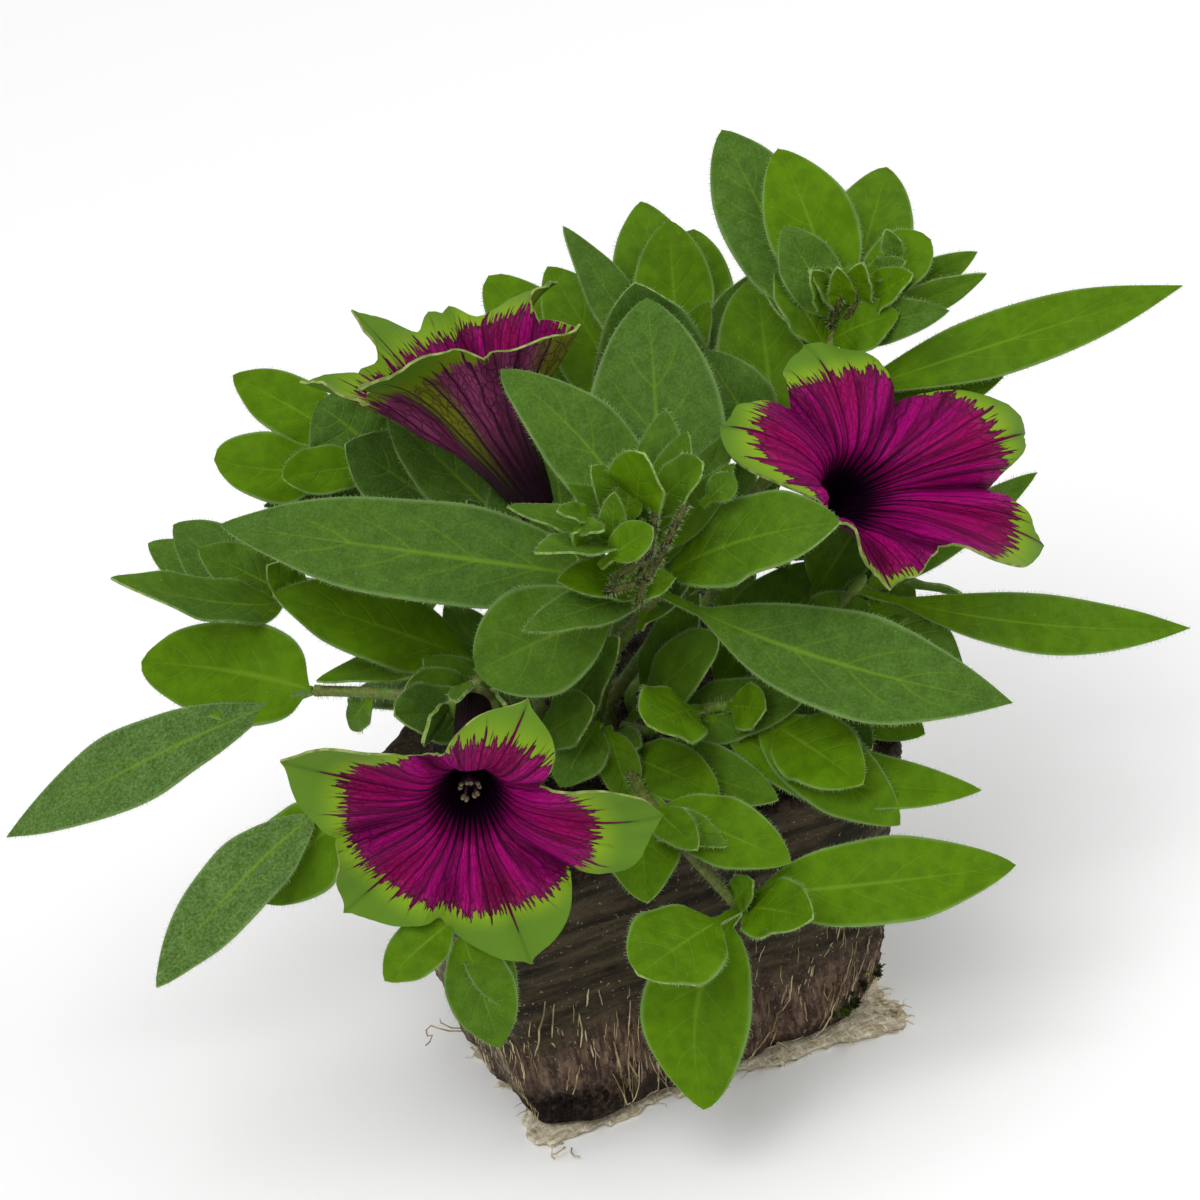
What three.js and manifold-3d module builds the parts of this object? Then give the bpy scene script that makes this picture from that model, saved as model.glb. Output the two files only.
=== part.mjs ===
// A flowering petunia plant with its bare, cell-shaped root ball, standing on
// its pale root mat. Millimetres, +Z up. The origin is on the mat's flat
// underside, under the middle of the root ball.
import * as THREE from "three";
import Module from "manifold-3d";

const wasm = await Module();
wasm.setup();

// Root ball and root mat
const BALL_TOP = 80; // side of the square top
const BALL_FOOT = 60; // side of the square underside
const BALL_HEIGHT = 50.2;
const BALL_LEAN = 2.5; // the top reaches this much further to the right
const BALL_POWER = 9; // how square the plan is
const MAT_POWER = 14;
const MAT_SIDE = 62;
const MAT_THICK = 2.5;
const REST_GAP = 0.3; // between pieces that touch
const SOIL_TOP = MAT_THICK + REST_GAP + BALL_HEIGHT;

// Stems, leaves and flowers
const STEM_RADIUS = 1.1;
const STALK_RADIUS = 0.85;
const STEM_SIDES = 5;
const STEM_STEP = 7; // length of one straight stretch of a stem
const FOOT_DEPTH = 7.5; // how deep a stem stands in the soil
const NECK_RISE = 2.5; // how far it goes straight up from the soil
const INNER_RING = 4; // radius of the ring of upright stems
const OUTER_RING = 8.5; // radius of the ring of low stems
const BLADE_THICK = 0.7;
const PETAL_THICK = 0.8;
const TUBE_RADII = [2.6, 3.4, 6];
const DISC_ARC = 14; // throat to the notches between lobes
const LOBE_ARC = 26; // throat to the tip of a lobe of middle length
const SEPAL_LENGTH = 12;

// The plant is laid out as a viewer sees it who stands before it, a little
// to its left and above, with the head tilted. A place is given as right and
// up of the crown, and how far it comes toward the viewer.
const VIEW_TURN = THREE.MathUtils.degToRad(-15);
const VIEW_RISE = THREE.MathUtils.degToRad(30);
const VIEW_TILT = THREE.MathUtils.degToRad(13);
const VIEW_DISTANCE = 800;

const v3 = (x, y, z) => new THREE.Vector3(x, y, z);
const CROWN = v3(0, 0, SOIL_TOP);
const UP = v3(0, 0, 1);
const TOWARD = v3(
  Math.sin(VIEW_TURN) * Math.cos(VIEW_RISE),
  -Math.cos(VIEW_TURN) * Math.cos(VIEW_RISE),
  Math.sin(VIEW_RISE),
);
const LEVEL_RIGHT = v3(Math.cos(VIEW_TURN), Math.sin(VIEW_TURN), 0);
const RIGHT = LEVEL_RIGHT.clone().applyAxisAngle(TOWARD, -VIEW_TILT);
const UPWARD = TOWARD.clone().cross(RIGHT);

// A place seen at (right, up), brought toward the viewer along the sight line
function seen(right, up, toward) {
  const near = (VIEW_DISTANCE - toward) / VIEW_DISTANCE;
  return CROWN.clone()
    .addScaledVector(RIGHT, right * near)
    .addScaledVector(UPWARD, up * near)
    .addScaledVector(TOWARD, toward);
}

// A direction given in the viewer's right, up and toward
const seenDirection = (right, up, toward) =>
  v3(0, 0, 0)
    .addScaledVector(RIGHT, right)
    .addScaledVector(UPWARD, up)
    .addScaledVector(TOWARD, toward)
    .normalize();

// Where the viewer sees a point: [right, up, toward]
function asSeen(point) {
  const offset = point.clone().sub(CROWN);
  const toward = offset.dot(TOWARD);
  const near = (VIEW_DISTANCE - toward) / VIEW_DISTANCE;
  return [offset.dot(RIGHT) / near, offset.dot(UPWARD) / near, toward];
}

// Solids: a closed net of points and triangles, and what joins or cuts them
const toSolid = ({ points, faces }) =>
  new wasm.Manifold(
    new wasm.Mesh({
      numProp: 3,
      vertProperties: new Float32Array(points.flatMap((p) => [p.x, p.y, p.z])),
      triVerts: new Uint32Array(faces.flat()),
    }),
  );

const fuse = (solids) => solids.reduce((whole, piece) => whole.add(piece));

function toGeometry(solid) {
  const mesh = solid.getMesh();
  const geometry = new THREE.BufferGeometry();
  const position = new THREE.BufferAttribute(mesh.vertProperties, mesh.numProp);
  geometry.setAttribute("position", position);
  geometry.setIndex(new THREE.BufferAttribute(mesh.triVerts, 1));
  geometry.computeVertexNormals();
  return geometry;
}

// Two triangles between neighbouring rings, from a to a + 1 and b to b + 1
const quad = (a, aNext, b, bNext) => [
  [a, aNext, bNext],
  [a, bNext, b],
];

// A closed skin over rings of equally many points, capped at both ends
function skinRings(rings) {
  const around = rings[0].length;
  const points = rings.flat();
  const faces = [];
  for (let row = 0; row < rings.length - 1; row++) {
    for (let i = 0; i < around; i++) {
      const next = (i + 1) % around;
      const low = row * around;
      const high = low + around;
      faces.push(...quad(low + i, low + next, high + i, high + next));
    }
  }
  const last = points.length - around;
  for (let i = 1; i < around - 1; i++) {
    faces.push([0, i + 1, i], [last, last + i, last + i + 1]);
  }
  return { points, faces };
}

// A ring of points round a centre, square to a direction
function ringRound(centre, along, start, radius, sides) {
  const other = along.clone().cross(start);
  return Array.from({ length: sides }, (_, side) => {
    const angle = (side / sides) * 2 * Math.PI;
    return centre
      .clone()
      .addScaledVector(start, Math.cos(angle) * radius)
      .addScaledVector(other, Math.sin(angle) * radius);
  });
}

const squareTo = (along, vector) =>
  vector.clone().addScaledVector(along, -vector.dot(along)).normalize();

// A stem along a smooth path, from one radius to another. Its first stretch
// is straight.
function stem(path, radiusFoot, radiusEnd, straight = 0, sides = STEM_SIDES) {
  const length = path.getLength();
  const first = straight / length;
  const steps = Math.max(1, Math.round((length - straight) / STEM_STEP));
  const places = straight ? [0] : [];
  for (let i = 0; i <= steps; i++) {
    places.push(THREE.MathUtils.lerp(first, 1, i / steps));
  }
  let start = squareTo(path.getTangentAt(0), v3(1, 0.3, 0.2));
  const rings = places.map((at) => {
    const along = path.getTangentAt(at);
    start = squareTo(along, start);
    const radius = THREE.MathUtils.lerp(radiusFoot, radiusEnd, at);
    return ringRound(path.getPointAt(at), along, start, radius, sides);
  });
  return toSolid(skinRings(rings));
}

// Leaves. Each kind has its stalk's share of the length, and how slowly the
// blade swells and how finely it ends.
const KINDS = {
  round: { stalk: 0.04, swell: 0.4, end: 0.6 },
  paddle: { stalk: 0.14, swell: 1.15, end: 1.05 },
  lance: { stalk: 0.12, swell: 0.8, end: 0.85 },
  oval: { stalk: 0.1, swell: 0.8, end: 0.78 },
  spoon: { stalk: 0.28, swell: 0.85, end: 0.62 },
};
const STALK_HALF = 0.65;
const BASE_OUT = 0.25; // a leaf's base lies this far from the stem's middle
const BROAD = 12.5; // leaves this wide have their full wave
const BROAD_ROWS = [0, 0.25, 0.48, 0.76, 1];
const SMALL = 6.5; // and leaves narrower than this have the fewest rows
const MIDDLE_ROWS = [0, 0.35, 0.75, 1];
const SMALL_ROWS = [0, 0.5, 1];
const FOLD = 0.16; // how much the halves rise from the midrib
const WAVE = 0.09; // edge wave against the width
const WAVES = 2.6;
const GOLDEN = 2.4; // radians from one leaf's wave to the next

function halfWidth(kind, width, t) {
  const { stalk, swell, end } = KINDS[kind];
  if (t <= stalk) return STALK_HALF;
  const along = (t - stalk) / (1 - stalk);
  const widest = swell / (swell + end);
  const peak = widest ** swell * (1 - widest) ** end;
  const blade = (along ** swell * (1 - along) ** end) / peak;
  return STALK_HALF * (1 - along) + (blade * width) / 2;
}

// The leaf's point at t along its midrib and side from -1 to 1 across it
function leafPoint(leaf, t, side) {
  const { base, tip, across, normal } = leaf;
  const middle = base
    .clone()
    .lerp(tip, 0.45)
    .addScaledVector(normal, leaf.arch)
    .addScaledVector(across, leaf.bow);
  const rib = base
    .clone()
    .multiplyScalar((1 - t) ** 2)
    .addScaledVector(middle, 2 * t * (1 - t))
    .addScaledVector(tip, t * t);
  const half = halfWidth(leaf.kind, leaf.width, t);
  const wave = Math.sin(t * WAVES * 2 * Math.PI + leaf.order * GOLDEN + side);
  const lift = FOLD * half + WAVE * half * wave;
  return rib
    .addScaledVector(across, side * half)
    .addScaledVector(normal, Math.abs(side) * lift);
}

// Where a leaf's blade faces: square to its chord, then turned about it
function aimLeaf(leaf) {
  leaf.tip = seen(leaf.right, leaf.up, leaf.toward);
  const chord = leaf.tip.clone().sub(leaf.base).normalize();
  const turn = THREE.MathUtils.degToRad(leaf.roll);
  const across = chord.clone().cross(leaf.facing).normalize();
  leaf.across = across.applyAxisAngle(chord, turn);
  leaf.normal = leaf.across.clone().cross(chord);
}

// A leaf's closed blade: the same rows and columns on both faces
function blade(leaf) {
  const narrow = leaf.width < SMALL ? SMALL_ROWS : MIDDLE_ROWS;
  const rows = leaf.width < BROAD ? narrow : BROAD_ROWS;
  const columns = [-1, 0, 1];
  const last = rows.length - 1;
  const points = [];
  for (const face of [0.5, -0.5]) {
    for (const t of rows.slice(0, last)) {
      for (const side of columns) {
        points.push(leafPoint(leaf, t, side));
      }
    }
    points.push(leafPoint(leaf, 1, 0));
    const count = last * columns.length + 1;
    for (const point of points.slice(-count)) {
      point.addScaledVector(leaf.normal, face * BLADE_THICK);
    }
  }
  const under = points.length / 2;
  const tip = under - 1;
  const faces = [];
  for (let row = 0; row < last; row++) {
    const a = row * 3;
    const ends = row === last - 1 ? [tip, tip, tip] : [a + 3, a + 4, a + 5];
    for (const column of [0, 1]) {
      const top = [a + column, a + column + 1, ends[column + 1]];
      faces.push(top, [top[2] + under, top[1] + under, top[0] + under]);
      if (ends[column] !== ends[column + 1]) {
        const more = [a + column, ends[column + 1], ends[column]];
        faces.push(more, [more[2] + under, more[1] + under, more[0] + under]);
      }
    }
    for (const [from, to] of [[ends[0], a], [a + 2, ends[2]]]) {
      faces.push(...quad(to, from, to + under, from + under));
    }
  }
  for (const column of [0, 1]) {
    const [a, b] = [column, column + 1];
    faces.push(...quad(b, a, b + under, a + under));
  }
  return toSolid({ points, faces });
}

// The shoots, in the order that they stand round the crown. Each has its
// place in a ring of stems, its path as seen, and its leaves:
// at (share of the stem), right, up, toward, width, arch, roll, kind, layer,
// and bow, where the leaf also curves sideways.
// A leaf with a higher layer passes before one with a lower layer.
const SHOOTS = {
  centre: {
    ring: INNER_RING,
    angle: -80,
    path: [[4, 12, 18], [11.5, 25, 36], [8.5, 34, 40]],
    bud: 2.2,
    leaves: [
      [0.8, -59, 33, 22, 16.5, 4, 0, "lance", 78, -1.5],
      [0.82, 40.5, 33.5, 46, 14.5, 4, -8, "oval", 90, -1.5],
      [0.78, 68, 4.5, 40, 16.5, 5, 0, "paddle", 89, 6.5],
      [0.76, -18, 9.5, 52, 17, 5, -10, "spoon", 76],
      [0.77, -10.5, 16, 56, 6.5, 2, 0, "lance", 79],
      [0.74, 9.5, 69.5, 22, 21, 3, 0, "oval", 66, 2.5],
      [0.8, -14, 58, 36, 13.5, 4, 10, "oval", 74, 7],
      [0.8, -5, 24, 48, 7, 2, 0, "oval", 84],
      [0.92, -8.5, 28.5, 56, 8, 2, 30, "lance", 92],
      [0.9, -13, 36, 50, 6, 1.5, 30, "lance", 86],
      [0.95, -3.5, 39.5, 50, 4, 1, 0, "lance", 88],
      [0.95, 0.5, 42.5, 53, 7.5, 2, 0, "oval", 94],
      [0.98, 9, 44.5, 54, 9.5, 3, 0, "spoon", 95],
      [0.97, 18.5, 43, 51, 8, 2.5, -15, "spoon", 93],
      [0.93, 12.5, 51.5, 42, 7.5, 2, 0, "oval", 82],
      [0.94, 16, 48, 46, 6, 1.5, 0, "oval", 86],
      [0.93, 24, 48.5, 46, 5, 1.5, 20, "lance", 80],
      [0.9, 23.5, 43, 48, 5, 1.5, 20, "lance", 82],
    ],
  },
  upper_right: {
    ring: INNER_RING,
    angle: -5,
    path: [[18, 25, 8], [34, 50, 14], [42, 70, 12]],
    bud: 2.4,
    leaves: [
      [0.91, 21.5, 96.5, 4, 15, 3, 0, "oval", 56, -1],
      [0.94, 30.5, 93.5, 10, 14, 2, 0, "oval", 58, 2],
      [0.95, 48, 90.5, 2, 13.5, 2, 0, "oval", 50, 1],
      [0.94, 31.5, 81, 20, 9, 2, 0, "oval", 62],
      [0.86, 25.5, 76, 12, 6.5, 2, 45, "lance", 55],
      [0.88, 30, 73.5, 20, 9, 2, 30, "oval", 60],
      [0.97, 55, 79, 14, 9.5, 2, 0, "spoon", 60],
      [0.95, 62.5, 77, 14, 6, 2, 40, "lance", 54],
      [0.93, 64, 73.5, 19, 5.5, 2, 50, "lance", 56],
      [0.9, 58, 67.5, 30, 6.2, 2, 20, "lance", 64, -2],
      [0.91, 50, 67, 34, 8.5, 3, 10, "oval", 66],
      [0.97, 35.5, 74, 24, 5, 1.5, 0, "lance", 66],
      [0.99, 44.5, 75, 20, 5, 1.5, 0, "oval", 63],
      [0.99, 52, 73.5, 24, 6, 2, 10, "oval", 64],
      [0.78, 95.5, 71.5, 14, 10, 2, 10, "paddle", 40],
      [0.72, 67.5, 58, 8, 8, 2, 10, "oval", 38, 2],
      [0.68, 27, 73, 4, 15, 3, 0, "oval", 53],
      [0.66, 18.5, 61, 16, 11, 3, 0, "oval", 57],
    ],
  },
  top: {
    ring: INNER_RING,
    angle: 35,
    path: [[8, 28, -3], [14, 50, -6], [15, 60, -6]],
    leaves: [
      [0.95, 13, 82, -4, 12.5, 2, 0, "oval", 50],
      [0.93, 8.5, 85, -12, 14, 2, 0, "oval", 46],
      [0.92, 17, 80.5, -16, 15, 3, 0, "oval", 44],
      [0.82, -4, 81, -6, 8.5, 2, 20, "lance", 48, 2.5],
      [0.78, 7.5, 72, 6, 18, 3, 0, "oval", 56],
      [0.88, 26.5, 73.5, 0, 9, 2, 45, "lance", 52],
      [0.97, 19.5, 69, 4, 5, 1.5, 0, "lance", 53],
      [0.75, -6.5, 74.5, -16, 14, 3, 0, "oval", 42],
      [0.7, -16, 73, -20, 12, 2, 0, "spoon", 40],
    ],
  },
  upper_left: {
    ring: OUTER_RING,
    angle: 96,
    path: [[-10, 18, -8], [-24, 38, -12], [-40, 47, -14]],
    leaves: [
      [0.95, -57, 57, -16, 10, 2, 0, "oval", 46],
      [0.92, -60, 43.5, -10, 12, 2, 0, "spoon", 50, -6],
      [0.85, -49, 40.5, -2, 8.5, 2, 0, "spoon", 55],
      [0.88, -43.5, 52.5, -8, 18, 3, 0, "oval", 54],
      [0.6, -39, 46, 2, 16, 3, 0, "oval", 58],
      [0.93, -51.5, 49, -14, 6.5, 1.5, 20, "lance", 44],
      [0.8, -52, 36, -8, 6.5, 1.5, 0, "lance", 43],
      [0.52, -26, 48, -2, 12, 2, 0, "oval", 48],
      [0.42, -19.5, 37, 8, 7, 2, 20, "lance", 60],
    ],
  },
  left_back: {
    ring: OUTER_RING,
    angle: 156,
    path: [[-20, 14, 6], [-34, 19, 2], [-48, 21, -5]],
    leaves: [
      [0.96, -66.5, 33, -6, 11.5, 2, 0, "oval", 60, -3],
      [0.94, -70.5, 30, -14, 9.5, 2, 0, "oval", 56, -3],
      [0.97, -62.5, 29, 2, 8.5, 1.5, 0, "oval", 62],
      [0.98, -76.5, 24.5, 6, 10, 2, 20, "lance", 64, -8],
      [0.95, -51.5, 26.5, 4, 6.5, 1, 0, "lance", 63],
      [0.38, -50.5, 22, 14, 12.5, 3, 0, "oval", 66],
      [0.4, -43.5, 8, 12, 7.5, 2, 30, "lance", 60],
      [0.28, -23, 20.5, 12, 8, 2, 0, "oval", 62],
    ],
  },
  left: {
    ring: OUTER_RING,
    angle: 186,
    path: [[-20, 4, 16], [-33, 6, 14], [-44, 6.5, 10]],
    leaves: [
      [1, -71.5, 11, 12, 16, 2, -10, "round", 64, 1.5],
      [1, -93, -17, 12, 12.6, 4, 0, "paddle", 60, 1.5],
      [0.8, -38, 0.5, 6, 5, 1, 0, "oval", 50],
      [0.62, -37, 6.5, 4, 7, 1.5, 0, "oval", 48],
      [0.36, -29.5, 6.5, 26, 9.5, 2, 0, "spoon", 67],
      [0.32, -31, 2.5, 26, 10.5, 2, 0, "spoon", 68],
      [0.33, -26.5, 11.5, 24, 8, 2, 0, "oval", 67],
    ],
  },
  left_front: {
    ring: OUTER_RING,
    angle: 214,
    path: [[-10, -3, 20], [-30, -10, 34], [-46, -11.5, 32]],
    leaves: [
      [0.92, -69, -41, 42, 11, 4, 0, "lance", 70, 2.5],
      [0.85, -53, -27, 30, 14, 2, 0, "oval", 60],
      [0.36, 1, 4, 32, 8.5, 1.5, 0, "spoon", 72],
      [0.2, 5, 15, 34, 9, 2, 0, "oval", 70],
    ],
  },
  front_left: {
    ring: OUTER_RING,
    angle: 241,
    path: [[-8, -8, 22], [-16, -22, 38], [-21, -30, 46]],
    leaves: [
      [1, -32.5, -40, 46, 8, 2, 0, "oval", 80],
      [1, -14, -50.5, 45, 10, 2, 0, "lance", 82],
      [0.98, -12, -44.5, 42, 6.5, 1.5, 0, "lance", 78],
    ],
  },
  front: {
    ring: OUTER_RING,
    angle: -92,
    path: [[5, -4, 17], [11.5, -14, 34.5], [18, -21.5, 37], [24.5, -28.5, 34]],
    leaves: [
      [1, 8, -39, 46, 14.5, 2, 0, "spoon", 92],
      [1, 18.5, -60.5, 32, 16.5, 3, 0, "oval", 88, 7.5],
      [0.95, 68.5, -21.5, 22, 13.5, 3, 0, "lance", 86, 2],
      [1, 36, -30, 38, 10, 2, 0, "oval", 88],
      [0.98, 26.5, -24, 42, 5, 1, 0, "oval", 87],
      [0.62, 32.5, -21, 42, 10.5, 2, 0, "oval", 80],
      [0.63, 17.5, -19, 44, 5.5, 1, 0, "oval", 82],
      [0.64, 22, -18.5, 42, 4.5, 1, 0, "lance", 79],
      [0.5, 9.5, -27.5, 38, 12, 2, 0, "oval", 78],
      [0.3, 21, -10.5, 36, 9.5, 2, 0, "oval", 72],
      [0.3, 30.5, -11, 36, 10, 2, 0, "oval", 60],
      [0.2, 8.5, -2.5, 24, 4.5, 1, 0, "oval", 75],
    ],
  },
  front_right: {
    ring: OUTER_RING,
    angle: -62,
    path: [[10, 0, 15], [22, 4, 24], [29.5, 1, 26]],
    leaves: [
      [0.72, 9.5, 1, 36, 11.5, 2, -8, "spoon", 84],
      [1, 44, -8.5, 38, 12, 2, 0, "oval", 86],
      [0.9, 50, -15, 26, 12, 2, 0, "oval", 78],
      [0.7, 63, -9.5, 28, 10, 2, 0, "lance", 66, 9],
      [0.82, 28.5, 3.5, 32, 7, 1.5, 20, "spoon", 85],
      [0.25, 21, 15, 42, 9.5, 2, 0, "spoon", 74],
      [0.5, 34.5, 5, 23, 10, 2, 0, "oval", 68],
    ],
  },
  right: {
    ring: OUTER_RING,
    angle: -32,
    path: [[18, 5, 6], [34, 12, 12], [44.5, 25, 18]],
    leaves: [
      [0.95, 96.5, 16.5, 16, 9, 2, 10, "paddle", 45, 5],
      [0.9, 60, 10, 6, 10, 2, 0, "oval", 50],
      [0.85, 54, 18, -4, 5, 1.5, 20, "lance", 44],
      [0.6, 54, -0.5, 6, 11, 2, 0, "oval", 52],
      [0.6, 45.5, -3, 25, 10, 2, 0, "oval", 56],
      [0.7, 45, 20.5, 18, 11, 2, 0, "oval", 60],
      [0.8, 52.5, 22.5, 12, 10, 2, 0, "oval", 55],
      [0.4, 36, 27, 20, 11.5, 2, 0, "oval", 64],
      [0.9, 72, 41.5, 0, 6, 1.5, 30, "lance", 30],
      [0.2, 18, 22, 30, 8, 2, 0, "oval", 60],
    ],
  },
  back_left: {
    ring: OUTER_RING,
    angle: 126,
    behind: true,
    path: [[-10, 8, -8], [-20, 13, -18], [-34, 24, -28]],
    leaves: [
      [0.5, -38, 20, -20, 12, 2, 0, "oval", 20],
      [0.75, -28, 38, -34, 14, 3, 0, "oval", 14],
      [0.9, -48, 32, -32, 14, 3, 0, "oval", 16],
      [1, -36, 42, -44, 15, 3, 0, "oval", 12],
      [0.9, -46, 22, -40, 13, 3, 0, "oval", 10],
    ],
  },
  back_right: {
    ring: OUTER_RING,
    angle: 66,
    behind: true,
    path: [[0, 14, -12], [5, 30, -24], [9, 44, -36]],
    leaves: [
      [0.4, -6, 34, -26, 12, 2, 0, "oval", 20],
      [0.6, 20, 34, -28, 14, 3, 0, "oval", 18],
      [0.9, 26, 50, -38, 15, 3, 0, "oval", 12],
      [1, 10, 62, -40, 14, 3, 0, "oval", 11],
      [1, 0, 46, -54, 13, 3, 0, "oval", 6],
      [1, 30, 58, -34, 13, 3, 0, "oval", 15],
    ],
  },
  right_back: {
    ring: OUTER_RING,
    angle: 38,
    behind: true,
    path: [[7.5, 8.5, -8], [22, 14, -14], [36, 22, -18]],
    leaves: [
      [0.8, 44, 15.5, -14, 13, 3, 0, "oval", 18],
      [1, 52, 30, -22, 14, 3, 0, "oval", 15],
      [1, 46, 40, -28, 14, 3, 0, "oval", 13],
      [0.7, 24.5, 43.5, -26, 15, 2, 0, "oval", 8],
      [1, 60, 22, -10, 12, 3, 0, "oval", 19],
    ],
  },
};

// The flowers: where each stalk stands and runs, the throat, the way that
// the flower faces, the tube's length, its lobes, its layer. A lobe is given
// as [direction, length from the throat, flare from the axis, how far it bends
// back], and then the length and flare at the notch after it.
const FLOWERS = [
  {
    ring: OUTER_RING,
    angle: 10,
    path: [[15, 15, -12], [21, 24, -14]],
    throat: [42.5, 38, 28],
    faces: [0.416, 0.174, 0.893],
    tube: 30,
    lobes: [
      [-16, 29, 62, 50, 18, 71],
      [18, 29, 58, 65, 13, 95],
      [100, 21, 90, 75, 12, 92],
      [155, 23, 66, 120, 11.5, 14],
      [263, 18, 43, 15, 14.5, 25],
    ],
    layer: 80,
  },
  {
    ring: INNER_RING,
    angle: 100,
    path: [[-1, 10, 6], [-2, 18, 8]],
    throat: [-14.5, 46.5, 15],
    faces: [-0.52, 0.82, 0.24],
    tube: 23,
    lobes: [
      [-55, 31, 16, 50, 17.5, 25],
      [49, 19, 66, -20, 15, 30],
      [98, 26, 30, 70, 21, 20],
      [197, 27, 13, 20, 21, 15],
      [242, 29, 28, 11, 19.5, 20],
    ],
    layer: 62,
  },
  {
    ring: INNER_RING,
    angle: 200,
    path: [[-6, 9, 8], [-14, 12, 16]],
    throat: [-19, -8.5, 55],
    faces: [0, -0.454, 0.891],
    tube: 30,
    lobes: [
      [-6, 26, 64, 60, 11, 32],
      [69, 22, 27, 110, 8.5, 28],
      [164, 25, 73, 10, 15, 74],
      [227, 23, 94, -20, 16.5, 94],
      [287, 25.5, 94, -15, 15, 84],
    ],
    layer: 90,
  },
];

// Stem paths: straight up out of the soil, then through the places as seen
const footOf = ({ ring, angle }) => {
  const turn = THREE.MathUtils.degToRad(angle);
  return v3(ring * Math.cos(turn), ring * Math.sin(turn), SOIL_TOP);
};

const stemPath = (shoot, end = []) => {
  const foot = footOf(shoot);
  const places = shoot.path.map((place) => seen(...place));
  const start = foot.clone().addScaledVector(UP, -FOOT_DEPTH);
  const neck = foot.clone().addScaledVector(UP, NECK_RISE);
  const points = [start, foot, neck, ...places, ...end];
  return new THREE.CatmullRomCurve3(points, false, "centripetal");
};

for (const shoot of Object.values(SHOOTS)) {
  shoot.curve = stemPath(shoot);
  const facing = shoot.behind
    ? UP.clone().multiplyScalar(0.7).addScaledVector(TOWARD, -0.5)
    : UP.clone().multiplyScalar(0.45).addScaledVector(TOWARD, 0.8);
  shoot.leaves = shoot.leaves.map((row, order) => {
    const [at, right, up, toward, width, arch, roll, kind, layer, bow = 0] = row;
    const base = shoot.curve.getPointAt(at * 0.999);
    const chord = seen(right, up, toward).sub(base).normalize();
    base.addScaledVector(chord, BASE_OUT);
    const place = { right, up, toward, layer };
    return { shoot, order, base, facing, width, arch, roll, kind, bow, ...place };
  });
  shoot.leaves.forEach(aimLeaf);
}

// The corolla: a hollow tube that flares at its throat into a disc of five
// pointed lobes. The net has HALF_LOBE columns from a notch to a lobe's tip.
const HALF_LOBE = 3;
const AROUND = 5 * 2 * HALF_LOBE;
const LIMB_ROWS = [0.38, 0.72, 1];
const RIPPLE = 0.6;
const LOBE_POINT = 1.3; // 1 gives straight-sided lobes, more gives round ones
const FLARE_START = 20; // degrees from the axis, at the throat
const FLARE_ARC = 8; // the limb has its full flare this far out
const BEND_START = 6; // the lobes bend back from here outward

for (const flower of FLOWERS) {
  flower.axis = seenDirection(...flower.faces);
  flower.mouth = seen(...flower.throat);
  flower.base = flower.mouth.clone().addScaledVector(flower.axis, -flower.tube);
  flower.east = UPWARD.clone().cross(flower.axis).normalize();
  flower.north = flower.axis.clone().cross(flower.east);
  const below = (distance) =>
    flower.base.clone().addScaledVector(flower.axis, -distance);
  flower.curve = stemPath(flower, [below(8), below(REST_GAP + PETAL_THICK)]);
}

// How far out and how high the limb is at a share of its length
function limbProfile(length, flare, bendBack, share) {
  const steps = 12;
  let out = TUBE_RADII.at(-1);
  let rise = 0;
  for (let i = 0; i < steps; i++) {
    const arc = ((i + 0.5) / steps) * share * length;
    const near = Math.min(1, arc / FLARE_ARC);
    const open = near * (2 - near);
    const bend = Math.max(0, (arc - BEND_START) / (LOBE_ARC - BEND_START)) ** 1.3;
    const angle = THREE.MathUtils.degToRad(
      THREE.MathUtils.lerp(FLARE_START, flare, open) + bendBack * bend,
    );
    out += (Math.sin(angle) * length * share) / steps;
    rise += (Math.cos(angle) * length * share) / steps;
  }
  return [out, rise];
}

// A column's direction, and the limb's length, flare and bend back there
function lobeColumn(flower, column) {
  const index = Math.floor(column / (2 * HALF_LOBE));
  const step = (column % (2 * HALF_LOBE)) / HALF_LOBE - 1;
  const [centre, longest, ownFlare, ownBend] = flower.lobes[index];
  const [beside, , , besideBend] = flower.lobes[(index + (step < 0 ? 4 : 1)) % 5];
  const [, , , , shortest, notchFlare] = flower.lobes[(index + (step < 0 ? 4 : 0)) % 5];
  const gap = THREE.MathUtils.euclideanModulo((beside - centre) * Math.sign(step), 360);
  const turn = THREE.MathUtils.degToRad(step === 0 ? centre : centre + (step * gap) / 2);
  const off = Math.abs(step);
  const bend = THREE.MathUtils.lerp(ownBend, (ownBend + besideBend) / 2, off * off);
  const flare = THREE.MathUtils.lerp(ownFlare, notchFlare, off * off * (3 - 2 * off));
  const full = DISC_ARC + (longest - DISC_ARC) * (1 - off ** LOBE_POINT);
  const length = off === 1 ? shortest : full;
  return { turn, length, flare, bend };
}

function corollaPoint(flower, column, row) {
  const { turn, length, flare, bend } = lobeColumn(flower, column);
  let out;
  let rise;
  if (row < 0) {
    const ring = row + TUBE_RADII.length;
    out = TUBE_RADII[ring];
    rise = flower.tube * (ring / (TUBE_RADII.length - 1) - 1);
  } else {
    const share = LIMB_ROWS[row];
    [out, rise] = limbProfile(length, flare, bend, share);
    rise += RIPPLE * share * share * Math.sin(column * 2.1);
  }
  return flower.mouth
    .clone()
    .addScaledVector(flower.axis, rise)
    .addScaledVector(flower.east, out * Math.cos(turn))
    .addScaledVector(flower.north, out * Math.sin(turn));
}

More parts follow.
